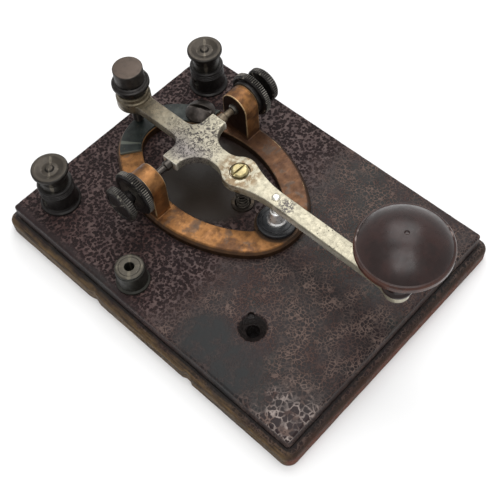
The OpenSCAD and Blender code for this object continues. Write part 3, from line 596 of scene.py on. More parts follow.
def solid(name, points, faces, sharp=32.0):
    """A smooth-shaded mesh object with sharp edges kept, from points in millimetres."""
    mesh = bpy.data.meshes.new(name)
    mesh.from_pydata([Vector(p) * MM for p in points], [], faces)
    mesh.validate()
    work = bmesh.new()
    work.from_mesh(mesh)
    bmesh.ops.recalc_face_normals(work, faces=work.faces)
    work.to_mesh(mesh)
    work.free()
    obj = bpy.data.objects.new(name, mesh)
    bpy.context.scene.collection.objects.link(obj)
    soften(obj, sharp)
    return obj


def soften(obj, sharp=32.0):
    """Smooth shading with edges sharper than that angle kept crisp."""
    for face in obj.data.polygons:
        face.use_smooth = True
    obj.data.set_sharp_from_angle(angle=radians(sharp))


def lathe(name, profile, steps=72, bored=False, knurl=None, sharp=32.0):
    """A body turned round Z from (radius, height) points; bored joins the last point to the first.

    knurl is (lowest height, highest height, count, depth): grooves across the rim between those heights.
    """
    rings = rounded(profile)
    if knurl:
        steps = knurl[2] * 4
    points, index = [], []
    for r, z in rings:
        if r < 1e-6:
            index.append([len(points)] * steps)
            points.append((0.0, 0.0, z))
            continue
        row = []
        for k in range(steps):
            a = 2 * pi * k / steps
            cut = 0.0
            if knurl and knurl[0] <= z <= knurl[1]:
                cut = knurl[3] * (0.5 - 0.5 * cos(knurl[2] * a))
            row.append(len(points))
            points.append(((r - cut) * cos(a), (r - cut) * sin(a), z))
        index.append(row)
    faces = []
    pairs = list(zip(index, index[1:])) + ([(index[-1], index[0])] if bored else [])
    for low, high in pairs:
        for k in range(steps):
            n = (k + 1) % steps
            face = [low[k], low[n], high[n], high[k]]
            face = [v for i, v in enumerate(face) if v not in face[:i]]
            if len(face) > 2:
                faces.append(face)
    return solid(name, points, faces, sharp)


def inset(outline, amount):
    """A closed outline moved inwards by its averaged normals; it runs anticlockwise."""
    out = []
    count = len(outline)
    for i in range(count):
        a, b, c = Vector(outline[i - 1]), Vector(outline[i]), Vector(outline[(i + 1) % count])
        before, after = (b - a).normalized(), (c - b).normalized()
        normal = Vector((-(before.y + after.y), before.x + after.x))
        normal.normalize()
        spread = max(0.5, normal.dot(Vector((-before.y, before.x))))
        out.append(b + normal * (amount / spread))
    return out


def slab(name, outline, low, high, bevel, foot=None, sharp=32.0):
    """A plate of that outline between two heights, its upper and lower edges rounded."""
    foot = bevel if foot is None else foot
    layers = [(foot * (1 - sin(radians(a))), low + foot * (1 - cos(radians(a)))) for a in (0, 30, 60, 90)]
    layers += [(bevel * (1 - cos(radians(a))), high - bevel * (1 - sin(radians(a)))) for a in (0, 30, 60, 90)]
    points, count = [], len(outline)
    for amount, z in layers:
        points += [(p[0], p[1], z) for p in inset(outline, amount)]
    faces = [list(range(count - 1, -1, -1))]
    for layer in range(len(layers) - 1):
        for k in range(count):
            n = (k + 1) % count
            a, b = layer * count, (layer + 1) * count
            faces.append([a + k, a + n, b + n, b + k])
    faces.append([(len(layers) - 1) * count + k for k in range(count)])
    return solid(name, points, faces, sharp)


def loop_solid(name, sections, closed=True, sharp=32.0):
    """A solid swept through sections, each a closed list of 3D points; open ends are capped."""
    points = [p for section in sections for p in section]
    ring_size, count = len(sections[0]), len(sections)
    faces = []
    for i in range(count if closed else count - 1):
        for k in range(ring_size):
            n, j = (k + 1) % ring_size, (i + 1) % count
            faces.append([i * ring_size + k, i * ring_size + n, j * ring_size + n, j * ring_size + k])
    if not closed:
        faces.append(list(range(ring_size - 1, -1, -1)))
        faces.append([(count - 1) * ring_size + k for k in range(ring_size)])
    return solid(name, points, faces, sharp)


def combine(obj, other, operation="DIFFERENCE", sharp=32.0):
    """Cuts other from obj, or joins it, and removes other."""
    modifier = obj.modifiers.new("combine", "BOOLEAN")
    modifier.operation = operation
    modifier.solver = "EXACT"
    modifier.object = other
    graph = bpy.context.evaluated_depsgraph_get()
    mesh = bpy.data.meshes.new_from_object(obj.evaluated_get(graph))
    obj.modifiers.clear()
    obj.data = mesh
    bpy.data.objects.remove(other)
    soften(obj, sharp)
    return obj


def rod(radius, low, high, at=(0, 0), turn=UP, steps=48, cone=None):
    """A plain cutter, round Z or turned; cone is its radius at the high end."""
    top = radius if cone is None else cone
    obj = lathe("cutter", [(0, low), (radius, low), (top, high), (0, high)], steps)
    obj.data.transform(Matrix.Translation(Vector((*at, 0)) * MM if len(at) == 2 else Vector(at) * MM)
                       @ turn.to_4x4())
    return obj


def bar(length, width, height, at, angle=0.0):
    """A plain box cutter, its middle at a point, turned about Z."""
    x, y, z = length / 2, width / 2, height / 2
    points = [(a * x, b * y, c * z) for c in (-1, 1) for a, b in ((-1, -1), (1, -1), (1, 1), (-1, 1))]
    faces = [[3, 2, 1, 0], [4, 5, 6, 7], [0, 1, 5, 4], [1, 2, 6, 5], [2, 3, 7, 6], [3, 0, 4, 7]]
    obj = solid("cutter", points, faces)
    obj.data.transform(Matrix.Translation(Vector(at) * MM) @ Matrix.Rotation(radians(angle), 4, "Z"))
    return obj


def put(obj, place, turn=UP):
    """Moves a piece built round its own origin to its place, in millimetres."""
    obj.matrix_world = Matrix.Translation(Vector(place) * MM) @ turn.to_4x4()
    return obj


def fit_out(obj, material, body, slot, *nodes):
    """Gives a piece its material and its body and hides the frame nodes it stands for; slot is not used."""
    obj.data.materials.clear()
    obj.data.materials.append(material)
    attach(obj, body)
    if nodes:
        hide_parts(*nodes)
    return obj


def paint(node, material):
    """Gives a frame node a material."""
    target = frame["nodes"][node]
    target.data.materials.clear()
    target.data.materials.append(material)


# ---------------------------------------------------------------------------
# Board
# ---------------------------------------------------------------------------

STUDS = [middle("post_left").xy, middle("post_right").xy, middle("bare_post").xy, middle("frame_screw").xy,
         PIVOT.xy + Vector((0, CONTACT.y - PIVOT.y))]
STUD_R = 2.15
CHANNEL_DEPTH = 5.0
CHANNEL_W = 8.6
CHIPS = [(-51.2, 21.0, 2.6), (-51.2, -23.0, 2.2)]
SCREW_HOLES = [(-27.2, -30.5), (32.5, -36.5)]
HOLE_R = 2.3
COUNTERSINK_R = 5.0


def board_ring(look, step_in, height):
    """One level of the board: a rectangle with round corners, worn along its edge."""
    half_w, half_l = BOARD_HIGH.x - step_in, BOARD_HIGH.y - step_in
    radius = max(look.corner - step_in, 1.0)
    points = []
    for corner, (sx, sy) in enumerate(((1, 1), (-1, 1), (-1, -1), (1, -1))):
        centre = (sx * (half_w - radius), sy * (half_l - radius))
        points += arc(centre, radius, 90 * corner, 90 * corner + 90, 10)
        ahead = [(-1, 1), (-1, -1), (1, -1), (1, 1)][corner]
        start = Vector(points[-1])
        end = Vector((ahead[0] * (half_w - radius), ahead[1] * (half_l - radius)))
        end += radius * Vector((cos(radians(90 * corner + 90)), sin(radians(90 * corner + 90))))
        cuts = 90 if corner % 2 else 68
        points += [start.lerp(end, i / cuts)[:] for i in range(1, cuts)]
    return [worn_point(look, Vector((x, y, height)), step_in) for x, y in points]


def worn_point(look, point, step_in):
    """Pulls a point on the board's edge inwards where the wood is rubbed or chipped."""
    if BOARD_HIGH.x - abs(point.x) < BOARD_HIGH.y - abs(point.y):
        inward = Vector((-1 if point.x > 0 else 1, 0, 0))
    else:
        inward = Vector((0, -1 if point.y > 0 else 1, 0))
    rub = 0.16 * max(0.0, noise.noise(point * 0.16)) + 0.09 * max(0.0, noise.noise(point * 0.7))
    if step_in < look.step - 0.5:
        for x, y, radius in CHIPS:
            gap = (Vector((x, y)) - point.xy).length / radius
            edge = 0.75 + 0.35 * noise.noise(point * 1.3)
            rub += look.chip_depth * max(0.0, min(1.0, (edge - gap) * 2.5))
    if step_in > look.step + 1.0:
        rub = 0.0
    return point + inward * rub


def board_cutters():
    """Everything that is cut out of the board: screw holes, studs, spring well and wiring channels."""
    for x, y in SCREW_HOLES:
        yield rod(HOLE_R, -1, BOARD_HIGH.z + 1, (x, y))
        depth = COUNTERSINK_R - HOLE_R
        sink = rod(HOLE_R - 0.05, BOARD_HIGH.z - depth, BOARD_HIGH.z + 0.6, (x, y), cone=COUNTERSINK_R + 0.6)
        for vertex in sink.data.vertices:
            vertex.co += noise.noise_vector(vertex.co * 900) * 0.18 * MM
        yield sink
    # a splinter is out of the far edge of the left countersink
    x, y = SCREW_HOLES[0]
    yield rod(1.1, BOARD_HIGH.z - 1.1, BOARD_HIGH.z + 1, (x + 2.9, y + 3.4), steps=7, cone=1.5)
    for at in STUDS:
        yield rod(STUD_R, -2, BOARD_HIGH.z + 1, at)
        yield rod(CHANNEL_W / 2 + 1, -1.5, CHANNEL_DEPTH + 0.03, at)
    yield rod(6.95, BOARD_HIGH.z - 1.6, BOARD_HIGH.z + 1, (PIVOT.x, CONTACT.y))
    yield rod(3.5, BOARD_HIGH.z - 3.0, BOARD_HIGH.z + 1, (SPRING.x, SPRING.y))
    for a, b in ((2, 0), (0, 3), (1, 4)):
        run = STUDS[b] - STUDS[a]
        centre = (STUDS[a] + STUDS[b]) / 2
        yield bar(run.length, CHANNEL_W, CHANNEL_DEPTH + 1, (*centre, CHANNEL_DEPTH / 2 - 0.5),
                  degrees(atan2(run.y, run.x)))


def build_board(look):
    """The moulded board with its step, chips, holes and channels."""
    top = BOARD_HIGH.z
    lip, step = look.lip_height, look.step
    profile = rounded([(0.7, 0.0), (0.0, 0.0, 0.7), (0.0, lip - 1.0, 1.6), (step - 0.3, lip + 0.4, 0.4),
                       (step, lip + 0.2, 0.2), (step - 0.1, top, 0.9), (step + 3.0, top)], 5)
    rings = [board_ring(look, p.x, p.y) for p in profile]
    count = len(rings[0])
    points = [p for ring in rings for p in ring]
    faces = [list(range(count - 1, -1, -1)), [(len(rings) - 1) * count + k for k in range(count)]]
    for level in range(len(rings) - 1):
        for k in range(count):
            n = (k + 1) % count
            a, b = level * count, (level + 1) * count
            faces.append([a + k, a + n, b + n, b + k])
    board = solid("board", points, faces)
    for cutter in board_cutters():
        combine(board, cutter)
    return fit_out(board, varnished_wood(look), "base", "varnished_board", "base_board")


# ---------------------------------------------------------------------------
# Frame
# ---------------------------------------------------------------------------

RING_HALF_WIDTH = (FRAME_HIGH.x - FRAME_LOW.x) / 2
PLATE_ANGLES = (-5, 144)
PLATE_T = 0.9
FRAME_SLOT = -67.0
SPRING_SLOT = -2.0


class Oval:
    """The ring's plan: two flat side arcs and two end arcs, measured from the ring's centre."""

    def __init__(self, look):
        self.end_r = look.end_radius
        half_l, half_w = (FRAME_HIGH.y - FRAME_LOW.y) / 2, RING_HALF_WIDTH
        self.end_c = half_l - self.end_r
        self.side_r = (half_w ** 2 + self.end_c ** 2 - self.end_r ** 2) / (2 * (half_w - self.end_r))
        self.side_c = self.side_r - half_w
        self.meet = degrees(atan2(self.end_c, self.side_c))

    def points(self, set_in, steps=48):
        """The outline, set in by that much."""
        side = arc((-self.side_c, 0), self.side_r - set_in, -self.meet, self.meet, steps)
        end = arc((0, self.end_c), self.end_r - set_in, self.meet, 180 - self.meet, steps)
        half = side[:-1] + end[:-1]
        return half + [(-x, -y) for x, y in half]

    def radial(self, angle, set_in):
        """Where a ray from the rear arc's centre meets the outline, set in by that much."""
        ray = Vector((cos(radians(angle)), sin(radians(angle))))
        if self.meet <= angle <= 180 - self.meet:
            return Vector((0, self.end_c)) + ray * (self.end_r - set_in)
        side = self.side_c if cos(radians(angle)) > 0 else -self.side_c
        start = Vector((side, self.end_c))
        along = start.dot(ray)
        reach = -along + sqrt(along ** 2 - start.length_squared + (self.side_r - set_in) ** 2)
        return Vector((0, self.end_c)) + ray * reach


def build_ring(look, oval):
    """The oval ring with its bevelled outer edge, the horns, the bush pad and the holes."""
    z, t, b, w = RING.z, look.thickness, look.bevel, look.band
    levels = rounded([(0.3, 0), (0, 0, 0.25), (0, t - b, 0.3), (b, t, 0.45), (w, t, 0.35), (w, 0),
                      (w - 0.3, 0)])
    ovals = [oval.points(p.x) for p in levels]
    sections = [[(RING.x + o[i][0], RING.y + o[i][1], z + p.y) for o, p in zip(ovals, levels)]
                for i in range(len(ovals[0]))]
    ring = loop_solid("brass_frame", sections)
    pad = lathe("pad", [(0, 0.02), (7.7, 0.02), (7.7, t - 0.04, 0.3), (0, t - 0.04)])
    pad.data.transform(Matrix.Translation(Vector((PIVOT.x, CONTACT.y, z)) * MM))
    combine(ring, pad, "UNION")
    r, foot = look.horn_radius, z + t / 2
    flare = 0.4
    outline = [(-r - flare, foot), (r + flare, foot)]
    outline += arc((r + flare, z + t + flare), flare, 270, 180, 6)[1:]
    outline += arc((0, PIVOT.z), r, 0, 180, 40)
    outline += arc((-r - flare, z + t + flare), flare, 0, -90, 6)[:-1]
    for side in (-1, 1):
        horn = slab("horn", outline, 0, look.horn_thickness, 0.3)
        start = PIVOT.x + (HORN_OUT - look.horn_thickness if side > 0 else -HORN_OUT)
        turn = Matrix(((0, 0, 1), (1, 0, 0), (0, 1, 0)))
        horn.data.transform(Matrix.Translation(Vector((start, PIVOT.y, 0)) * MM) @ turn.to_4x4())
        combine(ring, horn, "UNION")
    combine(ring, rod(ROD_BORE, -60, 60, (PIVOT.x, PIVOT.y, PIVOT.z), RIGHT))
    combine(ring, rod(4.05, z - 1, z + t + 1, (PIVOT.x, CONTACT.y)))
    combine(ring, rod(ROD_BORE, z - 1, z + t + 1, STUDS[3]))
    return fit_out(ring, aged_brass(look), "base", "frame_brass", "key_frame")


def build_stop_plate(look, oval):
    """The thin dark plate on the rear of the ring, under the adjusting screw."""
    z, t = RING.z + look.thickness, PLATE_T
    outer, inner = look.bevel, look.band - 0.15
    levels = rounded([(outer + 0.2, 0), (outer, 0), (outer, t, 0.25), (inner, t, 0.25), (inner, 0),
                      (inner - 0.25, 0)])
    low, high = PLATE_ANGLES
    steps = 96
    sections = []
    for i in range(steps + 1):
        angle = low + (high - low) * i / steps
        plan = [oval.radial(angle, p.x) for p in levels]
        sections.append([(RING.x + q.x, RING.y + q.y, z + p.y) for q, p in zip(plan, levels)])
    plate = loop_solid("stop_plate", sections, closed=False)
    combine(plate, rod(ROD_BORE, z - 1, z + t + 1, STUDS[3]))
    return fit_out(plate, oxidised_plate(), "base", "stop_plate", "rear_stop_plate")


def build_frame_screw(look):
    """The slotted round-head screw that holds the ring and the plate."""
    low, high = box("frame_screw")
    at = middle("frame_screw")
    r, rim = (high.x - low.x) / 2, 1.2
    seat = RING.z + look.thickness + PLATE_T
    rise = high.z - seat - rim
    dome = (r * r + rise * rise) / (2 * rise)
    crown = arc((0, seat + rim + rise - dome), dome, degrees(asin(r / dome)) * -1 + 90, 90, 10)
    profile = [(0, low.z), (ROD, low.z), (ROD, seat), (r - 0.4, seat, 0.2), (r, seat + 0.4, 0.2), *crown]
    screw = lathe("frame_screw_head", lowered(profile, seat))
    combine(screw, bar(20, 1.5, 3.0, (0, 0, high.z - seat), FRAME_SLOT))
    put(screw, (at.x, at.y, seat))
    return fit_out(screw, turned_metal("screw_head", (0.026, 0.021, 0.018), (0.13, 0.11, 0.09), 0.7), "base",
                   "dark_bronze", "frame_screw")


# ---------------------------------------------------------------------------
# Contacts and spring
# ---------------------------------------------------------------------------

def build_contacts(trim):
    """The fixed contact on its insulating bush, and the cup that the spring stands in."""
    x, y = PIVOT.x, CONTACT.y
    low, high = box("anvil_bush")
    r = (high.x - low.x) / 2
    seat = high.z - 1.6
    profile = [(ROD_BORE, low.z), (4.0, low.z), (4.0, seat), (r, seat, 0.15), (r, high.z, 0.35),
               (r - 1.5, high.z, 0.1), (r - 1.7, high.z - 0.2, 0.1), (r - 1.9, high.z, 0.1),
               (ROD_BORE, high.z)]
    bush = put(lathe("contact_bush", profile, bored=True), (x, y, 0))
    fit_out(bush, black_rubber(), "base", "hard_rubber", "anvil_bush")
    low, high = box("anvil")
    seat = box("anvil_bush")[1].z
    profile = [(0, low.z), (ROD, low.z), (ROD, seat), (3.4, seat, 0.2), (3.4, seat + 1.1, 0.3),
               (3.0, seat + 1.8, 0.3), (2.2, high.z - 0.3, 0.15), (1.8, high.z, 0.1),
               (1.0, high.z), (1.0, high.z - 1.2), (0, high.z - 1.2)]
    anvil = put(lathe("anvil_stud", lowered(profile, seat)), (x, y, seat))
    nickel = turned_metal("bright_nickel", trim.nickel, (0.85, 0.85, 0.82), 0.9, (0.24, 0.40))
    fit_out(anvil, nickel, "base", "nickel_plate", "anvil")
    low, high = box("anvil_contact")
    tip = lathe("anvil_point", [(0, low.z), (0.95, low.z), (0.95, high.z - 0.6), (1.4, high.z - 0.6, 0.08),
                                (1.4, high.z, 0.15), (0, high.z)], 48)
    put(tip, (x, y, 0))
    fit_out(tip, nickel, "base", "nickel_plate", "anvil_contact")
    low, high = box("spring_cup")
    r = (high.x - low.x) / 2
    cup = lathe("spring_seat", [(2.7, low.z + 1), (2.7, high.z, 0.15), (r, high.z, 0.15), (r, high.z - 0.5),
                                (3.5, high.z - 0.5), (3.5, low.z), (0, low.z), (0, low.z + 1)][::-1] +
                [(0, low.z + 1)], 56)
    put(cup, (SPRING.x, SPRING.y, 0))
    brown = turned_metal("brown_brass", (0.014, 0.010, 0.007), (0.060, 0.042, 0.024))
    fit_out(cup, brown, "base", "worn_bronze", "spring_cup")


def build_spring():
    """The coil spring between its cup and the lever's screw, closed at both ends."""
    low, high = box("return_spring")
    wire, turns, steps, sides = 0.25, 8, 36, 12
    mean = (high.x - low.x) / 2 - wire
    foot, head = low.z + wire, high.z - wire
    sections = []
    for i in range(turns * steps + 1):
        t = i / steps
        z = foot + (head - foot) * min(1.0, max(0.0, (t - 0.7) / (turns - 1.4)))
        a = 2 * pi * t
        sections.append([((mean + wire * cos(b)) * cos(a), (mean + wire * cos(b)) * sin(a), z + wire * sin(b))
                         for b in (2 * pi * j / sides for j in range(sides))])
    spring = put(loop_solid("coil_spring", sections, closed=False), (SPRING.x, SPRING.y, 0))
    steel = turned_metal("drawn_steel", (0.040, 0.034, 0.027), (0.12, 0.105, 0.085), 0.8, (0.35, 0.5))
    fit_out(spring, steel, "base", "spring_steel", "return_spring")
    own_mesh(spring)


# ---------------------------------------------------------------------------
# Lever
# ---------------------------------------------------------------------------

def hollow_centre(y, boss, edge, fillet, side):
    """Centre of the hollow arc between a boss at height y and a straight edge."""
    return (edge + fillet, y + side * sqrt((boss + fillet) ** 2 - (edge + fillet) ** 2))


def leave_angle(y, boss, edge, fillet, side):
    """Angle at which that arc leaves the boss."""
    centre = hollow_centre(y, boss, edge, fillet, side)
    return degrees(atan2(centre[1] - y, centre[0]))


def hollow(y, boss, edge, fillet, side, steps):
    """The hollow arc from the boss to the straight edge."""
    return arc(hollow_centre(y, boss, edge, fillet, side), fillet,
               leave_angle(y, boss, edge, fillet, side) + 180, 180, steps)


def lever_outline(look):
    """The lever's plan about the pivot: knob pad, bar, spring boss, cross arms and rear arm."""
    knob, spring, rear = KNOB.y - PIVOT.y, SPRING.y - PIVOT.y, REAR.y - PIVOT.y
    contact = PIVOT.y - CONTACT.y
    arm, b, neck, rear_w = look.arm_span / 2, look.bar_width / 2, look.neck_width / 2, look.rear_width / 2
    run = contact + spring + 1
    boss = look.boss_radius
    taper = (boss ** 2 - b ** 2 - run ** 2) / (2 * b - 2 * boss)
    fillet, half_arm = 8.0, look.arm_width / 2
    edge = arc((0, knob), look.knob_pad, -90, leave_angle(knob, look.knob_pad, b, 8, 1), 14)
    edge += hollow(knob, look.knob_pad, b, 8, 1, 6)
    edge += hollow(spring, boss, b, taper, -1, 24)[::-1]
    edge += arc((0, spring), boss, leave_angle(spring, boss, b, taper, -1),
                leave_angle(spring, boss, neck, 7, 1), 24)
    edge += hollow(spring, boss, neck, 7, 1, 12)
    edge += arc((neck + fillet, -half_arm - fillet), fillet, 180, 90, 18)
    edge += [(arm, -half_arm), (arm, half_arm - 0.2), (arm - 0.4, half_arm)]
    edge += arc((rear_w + 4.4, half_arm + 4.4), 4.4, 270, 180, 8)
    edge += hollow(rear, look.rear_radius, rear_w, 4, -1, 8)[::-1]
    edge += arc((0, rear), look.rear_radius, leave_angle(rear, look.rear_radius, rear_w, 4, -1), 90, 16)
    outline = edge + [(-x, y) for x, y in edge[::-1]]
    return [p for i, p in enumerate(outline) if (Vector(p) - Vector(outline[i - 1])).length > 0.02]


def build_lever(look):
    """The lever with its worn bevels, rear boss, holes and the recess of the spring screw."""
    outline = [(x + PIVOT.x, y + PIVOT.y) for x, y in lever_outline(look)]
    lever = slab("lever_bar", outline, LEVER_BASE, LEVER_TOP, look.bevel, 0.2, sharp=LEVER_CREASE)
    r = look.rear_radius + 0.12
    top = LEVER_TOP + look.rear_rise
    boss = lathe("boss", [(0, LEVER_BASE), (r, LEVER_BASE, 0.2), (r, LEVER_TOP + 0.6, 0.4),
                          (r - 0.5, LEVER_TOP + 1.0, 0.4), (r - 0.5, top, 0.35), (0, top)])
    boss.data.transform(Matrix.Translation(Vector((PIVOT.x, REAR.y, 0)) * MM))
    combine(lever, boss, "UNION", LEVER_CREASE)
    for turn in (LEFT, RIGHT):
        pin_hole = rod(1.21, look.arm_span / 2 - 5, look.arm_span, tuple(PIVOT), turn, 32)
        combine(lever, pin_hole, sharp=LEVER_CREASE)
    for y, radius in ((REAR.y, ROD_BORE), (SPRING.y, 1.65), (CONTACT.y, 1.01), (KNOB.y, 1.8)):
        combine(lever, rod(radius, LEVER_BASE - 1, top + 1, (PIVOT.x, y), steps=32), sharp=LEVER_CREASE)
    recess = rod(3.3, LEVER_TOP - 0.8, LEVER_TOP + 0.4, (PIVOT.x, SPRING.y), cone=3.7)
    combine(lever, recess, sharp=LEVER_CREASE)
    fit_out(lever, plated_steel(look), "lever", "lever_steel", "lever")


def build_rivet_and_pins(look):
    """The contact rivet and the two pivot pins, which are fixed in the lever."""
    silver = turned_metal("rubbed_nickel", (0.50, 0.48, 0.42), (0.85, 0.83, 0.78), 0.9, (0.16, 0.32))
    low, high = box("contact_rivet")
    profile = [(0, low.z), (1.4, low.z, 0.15), (1.4, LEVER_BASE, 0.05), (1.0, LEVER_BASE), (1.0, LEVER_TOP),
               (1.45, LEVER_TOP), (1.40, LEVER_TOP + 0.25, 0.2), (0.9, high.z - 0.08, 0.3), (0, high.z)]
    rivet = put(lathe("contact_rivet_pin", profile, 48), (PIVOT.x, CONTACT.y, 0))
    fit_out(rivet, silver, "lever", "nickel_plate", "contact_rivet")
    dark = turned_metal("dark_collar", (0.050, 0.043, 0.038), (0.36, 0.33, 0.28), 0.85, (0.24, 0.42))
    arm, r = look.arm_span / 2, 1.2
    tip = box("pivot_pin_right")[1].x - PIVOT.x - r + 0.2
    profile = [(0, arm - 5), (r, arm - 5), (r, arm), (r + 0.5, arm, 0.15), (r + 0.5, arm + 2.2, 0.3),
               (r, arm + 2.7, 0.2), (r, tip - 0.2, 0.1), (0, tip + r - 0.2)]
    light = turned_metal("tan_collar", (0.115, 0.090, 0.062), (0.36, 0.33, 0.28), 0.75, (0.42, 0.56))
    for side, turn, material in (("left", LEFT, dark), ("right", RIGHT, light)):
        pin = put(lathe(f"pivot_pin_{side}_shaft", profile, 40), PIVOT, turn)
        fit_out(pin, material, "lever", "nickel_plate", f"pivot_pin_{side}")


# ---------------------------------------------------------------------------
# Screws
# ---------------------------------------------------------------------------

def build_pivot_screws(trim):
    """The two pivot screws with their broad heads, and the knurled nuts that lock them."""
    black = turned_metal("blackened_brass", trim.black, (0.26, 0.24, 0.20), 0.7, (0.28, 0.46), 0.9)
    low, high = box("pivot_screw_right")
    tip, end, r = low.x - PIVOT.x, high.x - PIVOT.x, (high.y - low.y) / 2
    nut_low, nut_high = box("pivot_nut_right")
    out, wide, shank = nut_high.x - PIVOT.x, (nut_high.y - nut_low.y) / 2, ROD
    head = end - 3.0
    screw_profile = [(0, tip + 1.2), (shank - 0.8, tip), (shank - 0.5, tip), (shank, tip + 0.6),
                     (shank, out + 0.3), (shank + 0.5, out + 0.8, 0.2), (shank + 0.5, head - 0.6, 0.5),
                     (r - 1.6, head - 0.1, 0.4),
                     (r - 0.5, head, 0.3), (r, head + 0.6, 0.3), (r, end - 0.75, 0.3), (r - 0.75, end, 0.3),
                     (r - 1.5, end, 0.1), (r - 1.7, end - 0.2, 0.1), (r - 1.9, end - 0.1, 0.1),
                     (0, end - 0.05)]
    disc, hub = HORN_OUT + 1.2, 6.3
    nut_profile = [(ROD_BORE, HORN_OUT), (hub, HORN_OUT, 0.2), (hub, disc), (wide - 0.8, disc, 0.2),
                   (wide - 0.5, disc + 0.2), (wide, disc + 0.45, 0.1), (wide, out - 0.5, 0.1),
                   (wide - 0.5, out - 0.2), (wide - 0.9, out, 0.2), (wide - 2.0, out, 0.1),
                   (wide - 2.2, out - 0.15, 0.1), (wide - 2.4, out, 0.1), (ROD_BORE, out)]
    knurl = (disc + 0.25, out - 0.25, trim.knurl_count, 0.34)
    grip = (head + 0.5, end - 0.7, trim.knurl_count - 16, 0.24)
    for side, turn in (("left", LEFT), ("right", RIGHT)):
        screw = put(lathe(f"pivot_screw_{side}_knob", screw_profile, knurl=grip), PIVOT, turn)
        fit_out(screw, black, f"pivot_screw_{side}", "dark_bronze", f"pivot_screw_{side}")
        nut = put(lathe(f"pivot_nut_{side}_disc", nut_profile, bored=True, knurl=knurl), PIVOT, turn)
        fit_out(nut, black, f"pivot_nut_{side}", "dark_bronze", f"pivot_nut_{side}")


def build_rear_screw():
    """The rear adjusting screw with its flat drum head, over its lock nut."""
    low, high = box("rear_adjust_screw")
    nut_low, nut_high = box("rear_lock_nut")
    seat, r = nut_high.z, (high.x - low.x) / 2
    drum = [(0, low.z), (0.9, low.z, 0.1), (ROD, low.z + 1.1), (ROD, seat + 0.1), (r - 0.6, seat + 0.1, 0.2),
            (r, seat + 0.6, 0.2), (r, high.z, 0.35), (0, high.z)]
    brown = turned_metal("drum_head", (0.022, 0.019, 0.017), (0.12, 0.10, 0.08), 0.55, (0.36, 0.52), 0.6,
                         (0.076, 0.055, 0.042))
    screw = lathe("rear_screw_drum", lowered(drum, seat), 84)
    put(screw, (REAR.x, REAR.y, seat))
    fit_out(screw, brown, "rear_adjust_screw", "worn_bronze", "rear_adjust_screw")
    wide, base, top = (nut_high.x - nut_low.x) / 2, nut_low.z, nut_high.z
    hub = top - 2.1
    profile = [(ROD_BORE, base), (5.0, base, 0.2), (5.0, hub, 0.4), (wide - 0.5, hub, 0.3),
               (wide, hub + 0.4, 0.2),
               (wide, top - 0.75, 0.25), (wide - 0.6, top - 0.35, 0.15), (wide - 0.85, top - 0.55, 0.1),
               (wide - 1.1, top - 0.25, 0.1), (wide - 1.5, top, 0.1), (ROD_BORE, top)]
    nut = lathe("rear_nut_disc", lowered(profile, base), 84, bored=True)
    put(nut, (REAR.x, REAR.y, base))
    dark = turned_metal("dark_disc", (0.018, 0.016, 0.015), (0.14, 0.13, 0.11), 0.7, (0.30, 0.48), 0.75)
    fit_out(nut, dark, "rear_lock_nut", "dark_bronze", "rear_lock_nut")


def build_spring_screw():
    """The slotted screw that sets the spring, and its lock nut under the lever."""
    low, high = box("spring_screw")
    r, top = 2.9, high.z
    profile = [(0, low.z), (1.4, low.z, 0.2), (1.4, low.z + 1.3), (1.6, low.z + 1.4), (1.6, LEVER_TOP - 0.75),
               (r, LEVER_TOP - 0.75, 0.1), (r, top - 0.65, 0.3), (r - 0.6, top - 0.12, 0.4), (0, top)]
    screw = lathe("spring_screw_head", lowered(profile, LEVER_TOP), 64)
    combine(screw, bar(8, 0.85, 1.6, (0, 0, top - LEVER_TOP + 0.05), SPRING_SLOT))
    put(screw, (SPRING.x, SPRING.y, LEVER_TOP))
    yellowed = turned_metal("yellowed_nickel", (0.25, 0.21, 0.105), (0.50, 0.44, 0.28), 0.85, (0.26, 0.42))
    fit_out(screw, yellowed, "spring_screw", "worn_nickel", "spring_screw")
    nut_low, nut_high = box("spring_lock_nut")
    across = (nut_high.x - nut_low.x) / 2
    nut = hex_nut("spring_screw_nut", across, nut_high.z - nut_low.z, 1.65)
    put(nut, (SPRING.x, SPRING.y, nut_low.z))
    fit_out(nut, yellowed, "spring_lock_nut", "worn_nickel", "spring_lock_nut")


def hex_nut(name, radius, height, bore):
    """A hexagon nut with its corners turned off at both faces."""
    outline = [p for k in range(6) for p in arc((0, 0), radius, 60 * k - 1.5, 60 * k + 1.5, 1)]
    nut = slab(name, outline, 0, height, 0.12)
    flat, wide = radius * 0.87, radius + 0.05
    crown = lathe("crown", [(0, -0.01), (flat, -0.01), (wide, 0.5), (wide, height - 0.5),
                            (flat, height + 0.01), (0, height + 0.01)], 48)
    combine(nut, crown, "INTERSECT")
    return combine(nut, rod(bore, -1, height + 1, steps=32))


# ---------------------------------------------------------------------------
# Knob
# ---------------------------------------------------------------------------

